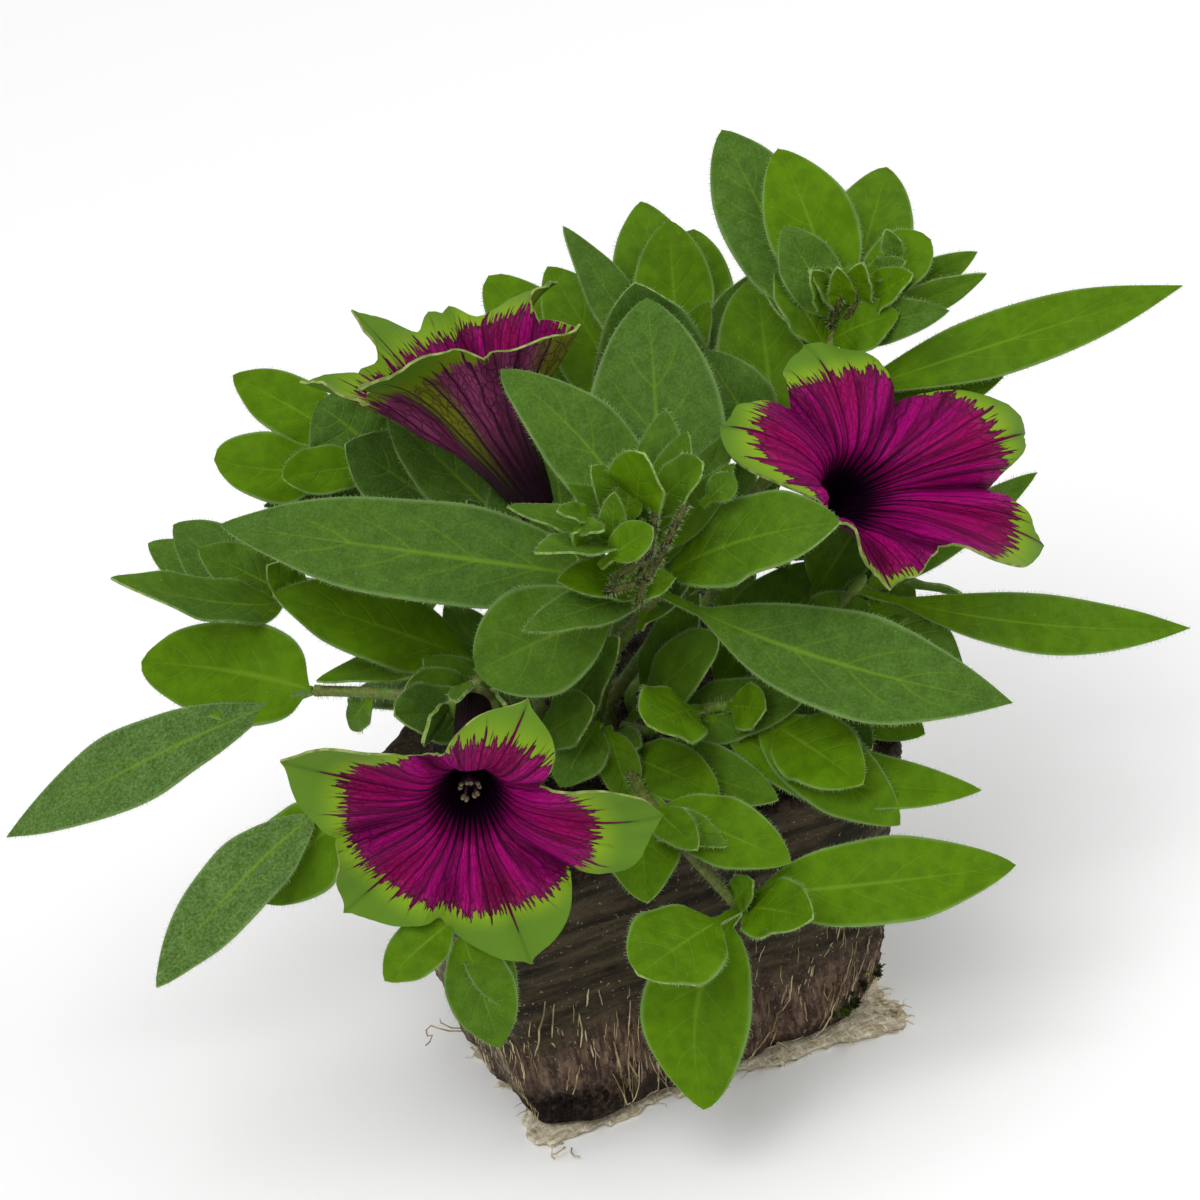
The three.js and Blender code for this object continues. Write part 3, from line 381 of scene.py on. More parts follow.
for i, (x, y, z) in enumerate(spots):
    spot = Vector((x, y, z)) * 1000
    if share[i] > 0.999:
        crumbs = noise.fractal(spot * 0.35, 0.7, 2.2, 5)
        rim = max(0.0, reach[i] - 0.9) * 10
        spots[i, 2] += 0.001 * (crumbs * 0.9 - 0.9 * rim)
        continue
    if share[i] < 0.001 or reach[i] < 0.999:
        continue
    streaks = noise.fractal(Vector((spot.x * 0.1, spot.y * 0.1, spot.z * 1.1)), 0.8, 2.1, 4)
    roots = noise.fractal(Vector((spot.x * 1.1 + spot.z * 0.25, spot.y * 1.1, spot.z * 0.13)), 0.7, 2.1, 4)
    grain = noise.fractal(spot * 0.9, 0.6, 2.2, 4)
    lower = min(1.0, max(0.0, (0.6 - share[i]) / 0.2))
    push = 0.22 * streaks * (1 - lower) + 0.45 * roots * lower + 0.22 * grain
    sideways = ((spot.x - hollow_x) ** 2 + (spot.y - hollow_y) ** 2) / 90
    hollow = math.exp(-sideways - (spot.z - hollow_z) ** 2 / 12)
    foot_groove = math.exp(-((spot.z - 4) ** 2) / 3) * (0.5 + 0.5 * streaks)
    push -= (3.2 + 2.5 * grain) * hollow + 0.6 * foot_groove
    spots[i, 0] *= 1 + push / 30
    spots[i, 1] *= 1 + push / 30
put_places(ball, spots)
bpy.ops.object.shade_smooth()

peat = Finish("peat", 0.92, 0.25)
aside, height = peat.place.part(0), peat.place.part(2)
wander = speckle(peat.place, 0.018, 3)
level = wander * 0.014 + height
streaks = speckle(peat.place, 0.0035, 6, 0.65, (0.22, 0.22, 1.6))
roots = speckle(peat.place, 0.0012, 5, 0.7, (1, 1, 0.13))
grain = speckle(peat.place, 0.0011, 5, 0.7)
dark = fade(streaks, 0.36, 0.68, (34, 29, 19), (78, 68, 48))
brown = fade(roots, 0.4, 0.66, (60, 44, 36), (124, 101, 82))
body = fade(aside * 0.12 + level, 0.022, 0.031, brown, dark)
fibrous = fade(roots, 0.35, 0.66, (82, 72, 58), (150, 138, 118))
body = fade(wander * 0.008 + aside, -0.0255, -0.0285, body, fibrous, 0.8)
body = fade(grain, 0.52, 0.7, body, (24, 19, 15), 0.55)
body = fade(speckle(peat.place, 0.0006, 2), 0.66, 0.74, body, (168, 150, 122), 0.8)
# Painted shade: the peat is darkened toward the ball's foot, just above the mat.
body = tint(ease(level, 0.0095, 0.0125, 0.7, 0.0), body, (26, 20, 14))
# Painted shade: the hollow low in the ball's front left corner is darkened nearly to black, as shadow in the
# recess.
hollow_shade = {"Vector": peat.place, "Location": (2.6, 3.2, -1.15), "Scale": (100, 100, 190)}
hollow_shade = node_of("VectorMath", {0: node_of("Mapping", hollow_shade)}, "Value", operation="LENGTH")
hollow_shade = ease(hollow_shade + (grain * 1.6 + wander * 1.2), 1.6, 3.0, 1.0, 0.0)
body = tint(hollow_shade, body, fade(roots, 0.5, 0.7, (10, 8, 5), (72, 60, 42)))
soil = fade(grain, 0.4, 0.68, (20, 15, 11), (74, 58, 44))
peat.paint(fade(height, 0.0505, 0.052, body, soil), streaks * 0.6 + grain + roots, 0.0007)
ball.data.materials.append(peat.material)
finish_piece(ball, "peat_ball", "soil", "root_ball")

# The roots on the ball: fine ones all over its lower half, and the strong pale
# ones that stand out in front, given by their thickness and then by places
# across and above the mat in millimetres. All lie flat on the peat.
fine_root_count, fine_root_steps = 760, 6
hollow_middle, hollow_wide = Vector((-0.026, -0.032, 0.006)), 0.008
strong_roots = (
    (0.22, (-25.7, 30.8), (-27.3, 26.6), (-29.1, 21.2)), (0.18, (-24.4, 29.7), (-25.3, 26.6), (-25.9, 23.7)),
    (0.18, (-18.6, 30.3), (-19.6, 26.9)), (0.2, (-20.7, 25.6), (-20.9, 22.6), (-21.7, 19.8)),
    (0.3, (-16.3, 18), (-15.9, 14.6), (-16, 10)), (0.2, (-22.3, 16), (-24.2, 10.5)),
    (0.16, (-12.3, 27.8), (-12.8, 25.6)), (0.18, (-24, 16.8), (-25.1, 11.9)),
    (0.16, (24.9, 16.5), (21.7, 8.5), (18.9, 4.8), (16.7, 3)),
    (0.18, (14.5, 17.7), (13.7, 12.9), (11.1, 10), (9.4, 7.6), (6.6, 5.3), (4.9, 3)),
    (0.14, (11.3, 8.5), (9.1, 5)), (0.16, (8.4, 4.9), (10.9, 4.5), (12.2, 3)),
)


def on_ball(guess):
    """The nearest place on the ball, and the way its skin faces there."""
    return ball.closest_point_on_mesh(guess)[1:3]


lines = []
for k in range(fine_root_count):
    side = rng.integers(4)
    along = rng.uniform(-0.97, 0.97)
    lead = Vector(((along, -1), (1, along), (-along, 1), (-1, -along))[side])
    turn = math.atan2(lead.y, lead.x)
    length = rng.choice((rng.uniform(0.002, 0.005), rng.uniform(0.005, 0.012)), p=(0.7, 0.3))
    share = rng.beta(1.4, 2.2) * 0.52 + 0.06
    thick = rng.choice((rng.uniform(0.00005, 0.00009), rng.uniform(0.00009, 0.00017)), p=(0.85, 0.15))
    lean = rng.normal(-0.1, 0.1)
    line = []
    for m in range(fine_root_steps + 1):
        out = float(ball_edge(share, np.float64(turn)))
        guess = Vector((out * math.cos(turn), out * math.sin(turn), ball_foot + ball_rise * share))
        spot, _ = on_ball(guess)
        guess *= (Vector((spot.x, spot.y)).length + thick) / out
        guess.z = ball_foot + ball_rise * share
        line.append((guess, thick * (0.3 + 0.7 * math.sin(math.pi * (m + 1) / 8))))
        lean += rng.normal(0, 0.08)
        turn += lean * length / fine_root_steps / out
        share = max(0.01, share - math.cos(lean) * length / fine_root_steps / ball_rise)
    if (spot - hollow_middle).length > hollow_wide:
        lines.append(line)
for thick, *places in strong_roots:
    ends = np.array(places)
    at = np.linspace(0, len(ends) - 1, 5 * len(ends))
    line = []
    for x, z, share in zip(*(np.interp(at, range(len(ends)), ends[:, k]) for k in (0, 1)), at / at[-1]):
        spot, _ = on_ball(Vector((x * 0.001, -0.036, z * 0.001)))
        wander = 0.0001 * math.sin(x + z)
        place = Vector((x * 0.001 + wander, spot.y - 0.0001, z * 0.001))
        line.append((place, 0.0008 * thick * (0.3 + 0.7 * math.sin(math.pi * (0.1 + 0.8 * share)))))
    lines.append(line)
olive, dark_olive = (194, 180, 138), (122, 106, 74)
strand_finish = mottled("root_strand", 0.8, 0.15, 0.005, 0.36, 0.62, dark_olive, olive, 3, 0.0004, 0.0001)
finish_piece(strands(lines, strand_finish), "root_strands", "root_felt")

# The loose roots: a curled one that sticks out of the ball at the left, and
# tufts at the mat's corner. Each is given by where it starts and by its steps
# in millimetres. They have pulled out of the peat and the felt at one end.
root_thick, root_thin = 0.00017, 0.00013
sights = [seen(-21.5, -48.9, near) for near in range(-40, 30, 3)]
on_sight = (on_ball(spot)[0] for spot in sights)
start = min(on_sight, key=lambda spot: min((spot - sight).length for sight in sights)) * 1000
curl = [rightward * a + upward * b + toward * c for a, b, c in (
    (-1.6, -0.3, 0), (-2, 0.1, 1), (-1.8, 0.5, 0.6), (-1.2, 0.4, -0.6), (-0.8, -0.8, -0.6),
    (0.2, -1, -0.4), (0.8, 0.2, 0.4), (-0.4, -1.1, 0), (-0.7, -0.6, 0),
)]
branch = [curl[0], curl[1] * 0.8, curl[2] + upward * 0.4, -curl[5] * 0.6]
lines = []
for start, steps in (
    (start - curl[0], curl), (start - curl[0] + upward * 0.5, branch),
    ((-27.5, -31.5, 1.4), ((-0.9, -0.8, 0.3), (-0.9, 0.2, -0.4), (-0.4, 0.7, -0.3))),
    ((-26.5, -31.8, 1), ((-0.5, -1, 0), (0.1, -1, -0.2), (0.8, -0.4, -0.2))),
    ((-27.2, -30, 1.2), ((-1.2, -0.2, 0.4), (-1, -0.6, 0), (-0.6, -0.9, -0.6), (0.2, -0.7, -0.3))),
):
    place = Vector(start)
    line = [(place * 0.001, root_thick)]
    for step in steps:
        place = place + Vector(step)
        place.z = max(place.z, 0.3)
        line.append((place * 0.001, root_thin))
    lines.append(line)
finish_piece(strands(lines, fibre_finish, 1), "loose_roots", "root_felt")

# The moss on the ball's lower right corner: short upright leaves in small
# cushions, rooted in the peat. A cushion is given by how far across and up its
# middle lies and how wide it is, in millimetres.
moss_count, ball_corner = 1100, 30.5
cushions = ((28, 4, 2.8), (30, 5.6, 2), (25.5, 3.2, 2.4), (31, 3, 1.6), (22.5, 3, 2))
moss = Finish("moss", 0.9, 0.15)
low_moss = fade(speckle(moss.place, 0.0022, 3), 0.4, 0.6, (22, 30, 10), (58, 76, 14))
moss.paint(fade(moss.place.part(2), 0.009, 0.0135, low_moss, (112, 138, 16)))
lines = []
for k in range(moss_count):
    middle, up, wide = cushions[k % 5]
    x = middle + rng.normal(0, 0.45) * wide
    z = 0.001 * max(2.6, up + rng.normal(0, 0.4) * wide)
    if x > ball_corner:
        guess = Vector((0.036, 0.001 * (-32 + 1.2 * (x - ball_corner)), z))
    else:
        guess = Vector((0.001 * x, -0.036, z))
    spot, normal = on_ball(guess)
    way = normal * 0.6 + Vector(rng.normal(0, 0.4, 3)) + Vector((0, 0, 0.7))
    length = rng.uniform(0.0005, 0.001)
    rise = ((-0.0001 * normal, 0.00017), (way * length * 0.6, 0.00013), (way * length, 0.00004))
    lines.append([(spot + step, radius) for step, radius in rise])
finish_piece(strands(lines, moss), "moss_cushions", "soil")

# The leafy shoots: round, hairy stems that stand in the peat, with soft oval
# leaves grown along them. A leaf has a pale midrib and side veins, and its
# edge is rimmed with short pale hairs. Each shoot is one living piece.
leaf_kinds = {
    "round": (0.04, 0.4, 0.6), "paddle": (0.14, 1.15, 1.05), "lance": (0.12, 0.8, 0.85),
    "oval": (0.1, 0.8, 0.78), "spoon": (0.28, 0.85, 0.62),
}
leaf_wave, leaf_fold, young_fold = 0.09, 0.16, 0.34
leaf_thick, broad_from, crease = 0.0009, 8.4, math.radians(50)
line_step, hair_thick, leaf_inset, leaf_weld = 0.00033, 0.00004, 0.00025, 0.000004
stem_foot, stem_top, joint_swell, joint_long = 0.0011, 0.00085, 0.00022, 0.0012
bare_foot, bud_hair_count = 25, 260
plain_leaf = ("oval", 0, 0)
upright = Vector((0, 0, 1))


def leaf_half(leaf, along):
    """Half the leaf's width in millimetres, along from 0 at its stalk to 1."""
    stalk, swell, end = leaf_kinds[leaf["kind"]]
    blade = np.clip((along - stalk) / (1 - stalk), 0, 1)
    widest = swell / (swell + end)
    most = widest**swell * (1 - widest) ** end
    return 0.65 * (1 - blade) + leaf["width"] / 2 * blade**swell * (1 - blade) ** end / most


def leaf_skin(leaf, side, along):
    """Places on the leaf's blade, with side from -1 to 1 across it."""
    base, tip, across, normal = (leaf[part][None] for part in ("base", "tip", "across", "normal"))
    side, along = side[:, None], along[:, None]
    middle = base * 0.55 + tip * 0.45 + 0.001 * (normal * leaf["arch"] + across * leaf["bow"])
    rib = base * (1 - along) ** 2 + middle * 2 * along * (1 - along) + tip * along**2
    half = leaf_half(leaf, along)
    wave = np.sin(along * 2.6 * 2 * math.pi + leaf["order"] * 2.4 + side)
    off = np.abs(side)
    lift = off**1.25 * (leaf["fold"] * half + leaf_wave * half * wave)
    veins = (along - 0.26 * off**1.2) * leaf["veins"]
    quilt = -0.07 * np.cos(veins * 2 * math.pi) * off * (1 - off) * 4 * np.minimum(half / 5, 1)
    groove = -0.2 * np.exp(-((side * half / 0.5) ** 2)) * np.minimum(half / 3, 1)
    curl = -0.05 * half * off**6
    ripple = 0.1 * off**3 * np.sin(along * 31 + leaf["order"]) * np.minimum(half / 5, 1)
    lift = lift + quilt + groove + curl + ripple
    return rib + 0.001 * (across * side * half + normal * lift)


def stem_line(places):
    """A smooth line through places, as points a third of a millimetre apart."""
    p = np.array([2 * places[0] - places[1], *places, 2 * places[-1] - places[-2]])
    line = []
    for a, b, c, d in zip(p, p[1:], p[2:], p[3:]):
        first, middle, last = (np.linalg.norm(v) ** 0.5 for v in (b - a, c - b, d - c))
        start = middle * ((b - a) / first - (c - a) / (first + middle) + (c - b) / middle)
        stop = middle * ((c - b) / middle - (d - b) / (middle + last) + (d - c) / last)
        u = np.linspace(0, 1, 60, endpoint=False)[:, None]
        cubic = 2 * (b - c) + start + stop
        line.append(b + u * start + u**2 * (3 * (c - b) - 2 * start - stop) + u**3 * cubic)
    line = np.vstack([*line, p[-2:-1]])
    length = np.r_[0, np.cumsum(np.linalg.norm(np.diff(line, axis=0), axis=1))]
    even = np.linspace(0, length[-1], int(length[-1] / line_step) + 2)
    return np.stack([np.interp(even, length, line[:, k]) for k in range(3)], axis=1)


def stem_path(ring, angle, path, ends=()):
    """A stem's line: straight up out of the peat, then through places as seen."""
    turn = math.radians(angle)
    foot = np.array((0.001 * ring * math.cos(turn), 0.001 * ring * math.sin(turn), crown_high))
    rise = [foot + (0, 0, 0.001 * dz) for dz in (-7.5, 0, 2.5)]
    return stem_line([*rise, *(np.array(seen(*place)) for place in path), *ends])


def settled_tip(node_places, wanted):
    """Where a leaf's tip lies on its line of sight: midway between the two
    corners that end its blade in the plain model."""
    sight = wanted - np.array(eye)
    sight /= np.linalg.norm(sight)
    off = node_places - wanted
    depth = off @ sight
    miss = np.linalg.norm(off - depth[:, None] * sight, axis=1)
    close = np.unique(np.round(node_places[(miss < 0.00042) & (np.abs(depth) < 0.0146)], 7), axis=0)
    best, tip = 0.0002, wanted
    for i, first in enumerate(close):
        for second in close[i + 1:]:
            if abs(np.linalg.norm(first - second) - 0.0007) > 0.00004:
                continue
            middle = (first + second) / 2 - wanted
            slip = np.linalg.norm(middle - (middle @ sight) * sight)
            if slip < best:
                best, tip = slip, middle + wanted
    return tip


def mesh_piece(corners, faces, finish):
    """A smooth piece from its corners and faces, with one finish."""
    mesh = bpy.data.meshes.new("piece")
    mesh.from_pydata(corners, [], faces, shade_flat=False)
    mesh.materials.append(finish.material)
    piece = bpy.data.objects.new("piece", mesh)
    bpy.context.collection.objects.link(piece)
    return piece


def tubes(lines, finish, sides=10):
    """Closed tubes along lines of places, each with its own radii, in one mesh."""
    corners, faces = [], []
    for line, radii in lines:
        line = np.asarray(line, float)
        along = np.gradient(line, axis=0)
        along /= np.linalg.norm(along, axis=1)[:, None]
        start = np.cross(along[0], (0.3, 0.2, 1.0))
        first = len(corners)
        for place, way, radius in zip(line, along, radii):
            start = start - way * (start @ way)
            start /= np.linalg.norm(start)
            other = np.cross(way, start)
            for k in range(sides):
                turn = math.tau * k / sides
                corners.append(place + radius * (math.cos(turn) * start + math.sin(turn) * other))
        for row in range(len(line) - 1):
            for k in range(sides):
                a = first + row * sides + k
                b = first + row * sides + (k + 1) % sides
                faces.append((a, b, b + sides, a + sides))
        last = first + (len(line) - 1) * sides
        faces.append(tuple(range(first + sides - 1, first - 1, -1)))
        faces.append(tuple(range(last, last + sides)))
    return mesh_piece(corners, faces, finish)


def hairs(down, name, slot, thick=hair_thick):
    """Fine hairs as slim three-sided spikes, from sets of their roots, ways and
    lengths, as one finished piece."""
    roots, ways, lengths = (np.concatenate(part) for part in zip(*down))
    count = len(roots)
    ways = ways / np.linalg.norm(ways, axis=1)[:, None]
    side = np.cross(ways, rng.normal(size=(count, 3)))
    side /= np.linalg.norm(side, axis=1)[:, None]
    other = np.cross(ways, side)
    corners = np.empty((count, 4, 3))
    for k in range(3):
        turn = math.tau * k / 3
        corners[:, k] = roots + thick * (math.cos(turn) * side + math.sin(turn) * other)
    corners[:, 3] = roots + ways * lengths[:, None]
    first = np.arange(count)[:, None, None] * 4
    faces = (first + np.array(((0, 1, 3), (1, 2, 3), (2, 0, 3), (0, 2, 1)))).reshape(-1, 3)
    finish_piece(mesh_piece(corners.reshape(-1, 3), faces, hair_finish), name, slot)


def leaf_finish(name, gloss, dull, bright, rib, pale_sheen):
    """Soft leaf skin, from dull blue-green to bright by the leaf's own tone. Its
    veins are drawn on its map, which runs across the leaf and along it."""
    finish = Finish(name, gloss, 0.05)
    tone, along = finish.own("tone"), finish.map.part(1)
    off = abs(finish.map.part(0) * 2 - 1)
    rib_width = ease(along, 0.1, 0.95, 0.12, 0.035)
    midrib = ease(off, 0.0, rib_width, 1.0, 0.0)
    glow = ease(along, 0.1, 0.42, 0.85, 0.0) * ease(off, 0.0, 0.5, 0.4, 0.0)
    midrib = worked("MAXIMUM", midrib, glow)
    phase = (worked("POWER", off, 1.2) * -0.26 + along) * 7
    line = ease(abs(worked("FRACT", phase) - 0.5), 0.5, 0.4, 1.0, 0.0) * ease(off, 0.3, 0.9, 1.0, 0.0)
    side_veins = line * (ease(along, 0.12, 0.25) * ease(along, 0.8, 0.97, 1.0, 0.0))
    patches = speckle(finish.place, 0.011, 2)
    mixed = patches * 0.5 + (tone - 0.25) + ease(along, 0.05, 0.42, 0.55, 0.0)
    skin = fade(mixed, 0.0, 1.0, dull, bright)
    down = speckle(finish.place, 0.00045, 3, 0.7)
    # Partly real and partly painted light: the grey of the fine down, laid over the dull leaves as a painted
    # silvery sheen, and made stronger on leaves with a tone below 0 so that they look lit.
    down_and_sheen = ease(mixed, 0.2, 0.9, 0.15, 0.02) * ease(tone, -0.6, 0.0, 2.6, 1.0) * ease(down, 0.3, 0.75)
    skin = tint(down_and_sheen, skin, pale_sheen)
    shade = ease(speckle(finish.place, 0.0025, 4), 0.3, 0.7, 0.86, 1.12)
    skin = tint(1.0, skin, shade, "MULTIPLY")
    skin = tint(side_veins * 0.26, skin, rib)
    skin = tint(midrib * ease(along, 0.35, 0.9, 0.68, 0.3), skin, rib)
    # Painted highlight: the blade's edge is lightened toward the pale sheen colour, as light caught on its
    # fringe of hairs.
    skin = tint(ease(off, 0.9, 0.995) * 0.3, skin, pale_sheen)
    finish.paint(skin, side_veins * -0.3 + down * 0.2, 0.0003)
    return finish


def stem_finish(name, lump, blush_lump, blush_at, green, blushed, pale, old=None):
    """Round green skin that blushes brown, with pale lengthwise marks."""
    finish = Finish(name, 0.6, 0.35)
    lengthwise = speckle(finish.place, lump, 4)
    skin = fade(speckle(finish.place, blush_lump, 3), *blush_at, green, blushed)
    if old:
        skin = tint(ease(finish.place.part(2), 0.047, 0.066, 0.55, 0.0), skin, old)
    finish.paint(fade(lengthwise, 0.4, 0.7, skin, pale, 0.4), lengthwise, 0.00025)
    return finish


# The last colour of each leaf skin is its pale painted sheen, also used for the painted highlight along the
# blade's edge.
leaf_top = leaf_finish("leaf_upper_skin", 0.6, (56, 87, 18), (77, 112, 0), (104, 138, 30), (138, 166, 110))
leaf_under = leaf_finish("leaf_under_skin", 0.7, (68, 98, 34), (80, 114, 12), (102, 134, 42), (146, 170, 118))
leaf_rim = mottled("leaf_rim", 0.6, 0.3, 0.0009, 0.35, 0.65, (92, 126, 40), (138, 164, 88))
hair_finish = mottled("plant_hair", 0.5, 0.4, 0.004, 0.35, 0.65, (124, 150, 84), (180, 198, 146), 2)
green_stem = stem_finish(
    "green_stem", 0.0011, 0.007, (0.42, 0.6), (84, 116, 26), (88, 92, 34), (130, 150, 70), (74, 70, 30)
)

# A broad and a small blank leaf, as nets that each leaf is shaped from, with so
# many squares across and along it
leaf_blanks = {}
for size, net in (("broad", (16, 44)), ("small", (10, 26))):
    leaf_blanks[size] = square_net(*net)
    leaf_blanks[size].vertex_groups.new(name="thickness")
    bpy.context.collection.objects.unlink(leaf_blanks[size])


def from_blank(blank):
    """A fresh skin, and its places on the blank: across it, and along it from 0."""
    piece = blank.copy()
    piece.data = blank.data.copy()
    bpy.context.collection.objects.link(piece)
    spots = places_of(piece)
    return piece, spots[:, 0], (spots[:, 1] + 1) / 2


def carry(piece, name, numbers):
    """Gives each corner of a piece a number for its finish."""
    piece.data.attributes.new(name, "FLOAT", "POINT").data.foreach_set("value", numbers.astype(np.float32))


def joined(*pieces):
    """Several pieces grown together as one, the first."""
    pick(*pieces)
    if len(pieces) > 1:
        bpy.ops.object.join()
    return pieces[0]


def make_skin(skins, finishes, thickness, weld=0, weights="", crease=crease):
    """Thin skins as one piece with a top, an underside and a rim, and no seams."""
    piece = joined(*skins)
    for finish in finishes:
        piece.data.materials.append(finish.material)
    if weld:
        bpy.ops.object.mode_set(mode="EDIT")
        bpy.ops.mesh.select_all(action="SELECT")
        bpy.ops.mesh.remove_doubles(threshold=weld)
        bpy.ops.object.mode_set(mode="OBJECT")
    thicken(piece, thickness, 0, weights)
    bpy.ops.object.shade_smooth_by_angle(angle=crease)
    return piece


def grow_leaf(leaf):
    """One leaf's skin, shaped from a blank, with its own tone and thickness."""
    piece, side, along = from_blank(leaf_blanks["broad" if leaf["width"] > broad_from else "small"])
    put_places(piece, leaf_skin(leaf, side, along))
    carry(piece, "tone", np.full(len(side), leaf["tone"]))
    near_rib = np.exp(-((side * leaf_half(leaf, along) / 0.8) ** 2))
    for i, weight in enumerate(0.4 + 0.6 * near_rib * (1 - 0.8 * along)):
        piece.vertex_groups[0].add((i,), float(weight), "REPLACE")
    return piece


def leaf_down(leaf, density=1.0):
    """Roots, ways and lengths of the hairs on one leaf: along its rim and on its skin."""
    length = np.linalg.norm(leaf["tip"] - leaf["base"]) * 1000
    rim_count = int(length / 0.3)
    skin_count = int(length * leaf["width"] * 0.55 * density)
    along = np.r_[np.tile(np.linspace(0.02, 0.999, rim_count), 2), rng.uniform(0.02, 0.97, skin_count)]
    along = np.clip(along + rng.normal(0, 0.002, len(along)), 0.01, 0.9995)
    side = np.r_[np.full(rim_count, -1.0), np.full(rim_count, 1.0), rng.uniform(-0.96, 0.96, skin_count)]
    spot = leaf_skin(leaf, side, along)
    ahead = leaf_skin(leaf, side, along + 0.004) - leaf_skin(leaf, side, along - 0.004)
    right, left = np.clip(side + 0.05, -1, 1), np.clip(side - 0.05, -1, 1)
    over = leaf_skin(leaf, right, along) - leaf_skin(leaf, left, along)
    ahead /= np.linalg.norm(ahead, axis=1)[:, None] + 1e-12
    over /= np.linalg.norm(over, axis=1)[:, None] + 1e-12
    normal = np.cross(over, ahead)
    on_rim = np.abs(side) == 1
    face = np.where(rng.uniform(size=len(side)) < 0.7, 1.0, -1.0)[:, None]
    rim_way = over * np.sign(side)[:, None] + 0.5 * ahead + 0.3 * rng.normal(size=spot.shape)
    skin_way = normal * face + 0.45 * ahead + 0.25 * rng.normal(size=spot.shape)
    way = np.where(on_rim[:, None], rim_way, skin_way)
    root = np.where(on_rim[:, None], spot, spot + normal * face * 0.00008)
    rim_height = rng.uniform(0.00035, 0.0008, len(side))
    return root, way, np.where(on_rim, rim_height, rng.uniform(0.0002, 0.00045, len(side)))


def stem_down(line, radii, per_mm=14, longest=0.0011):
    """Roots, ways and lengths of the hairs that stand off a stem."""
    length = np.linalg.norm(np.diff(line, axis=0), axis=1).sum() * 1000
    count = int(length * per_mm)
    at = rng.uniform(0.02, 0.99, count) * (len(line) - 1)
    low = at.astype(int)
    way = line[low + 1] - line[low]
    spot = line[low] + way * (at - low)[:, None]
    out = np.cross(way, rng.normal(size=(count, 3)))
    out /= np.linalg.norm(out, axis=1)[:, None]
    root = spot + out * radii[low][:, None] * 0.97
    return root, out + 0.15 * rng.normal(size=out.shape), rng.uniform(0.0004, longest, count)


def new_leaf(base, tip, across, order, **shape):
    """All that shapes a leaf, with its normal square to its length and width."""
    normal = np.cross(across, (tip - base) / np.linalg.norm(tip - base))
    plain = {"kind": plain_leaf[0], "tone": 0.5, "arch": 0.5, "bow": 0, "fold": leaf_fold, "veins": 7}
    return plain | {"base": base, "tip": tip, "across": across, "normal": normal, "order": order} | shape


def grow_shoot(name, ring, angle, path, rows, bud=0, behind=False, young=()):
    """A whole shoot: its stem, leaves and bud as one piece, and its hairs. The
    young leaves are the small cupped ones that crowd round the bud."""
    node = "shoot_" + name
    node_places = places_of(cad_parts[node])
    line = stem_path(ring, angle, path)
    facing = np.array(upright * 0.7 - toward * 0.5 if behind else upright * 0.45 + toward * 0.8)
    blades, down = [], []
    for order, row in enumerate((*rows, *young)):
        at, right, up, near, width, arch, tone = row[:7]
        kind, roll, bow = (*row[7:], *plain_leaf[len(row) - 7:])
        is_young = order >= len(rows)
        tip = np.array(seen(right, up, near))
        base = np.array(seen(*at)) if is_young else line[round(at * 0.999 * (len(line) - 1))]
        base = base + leaf_inset * (tip - base) / np.linalg.norm(tip - base)
        if not is_young:
            tip = settled_tip(node_places, tip)
        chord = (tip - base) / np.linalg.norm(tip - base)
        across = np.cross(chord, facing)
        across = Vector(across / np.linalg.norm(across))
        across.rotate(Quaternion(Vector(chord), math.radians(roll)))
        shape = {"width": width, "kind": kind, "tone": tone, "arch": arch, "bow": bow}
        shape["fold"] = young_fold if is_young else leaf_fold
        leaf = new_leaf(base, tip, np.array(across), order, **shape)
        blades.append(grow_leaf(leaf))
        down.append(leaf_down(leaf))
    finishes = (leaf_top, leaf_under, leaf_rim, green_stem)
    piece = make_skin(blades, finishes, leaf_thick, leaf_weld, "thickness")
    count = len(line)
    radii = np.linspace(stem_foot, stem_top, count)
    for row in rows:
        from_leaf = (np.arange(count) / count - row[0]) * count * line_step / joint_long
        radii += joint_swell * np.exp(-(from_leaf**2)) / (1 + 0.5 * len(rows) ** 0.5)
    stems = [(np.vstack([line[::4], line[-1:]]), np.r_[radii[::4], 0.0003])]
    if bud:
        way = line[-1] - line[-8]
        way /= np.linalg.norm(way)
        rise = np.linspace(-1.6, 1.8, 14)
        outline = np.interp(rise, (-1.6, -1.1, -0.4, 0.3, 1.1, 1.8), (0.3, 0.72, 0.98, 0.95, 0.55, 0.1))
        centre = line[-1] + way * bud * 0.001
        stems.append((centre + way * rise[:, None] * bud * 0.001, outline * bud * 0.001))
        spread = rng.normal(size=(bud_hair_count, 3))
        spread /= np.linalg.norm(spread, axis=1)[:, None]
        down.append((centre + spread * bud * 0.0009, spread, rng.uniform(0.0004, 0.001, bud_hair_count)))
    piece = joined(piece, tubes(stems, green_stem))
    down.append(stem_down(line[bare_foot:], radii[bare_foot:]))
    finish_piece(piece, "leaves_" + name, "leaf", node)
    hairs(down, "hairs_" + name, "leaf")


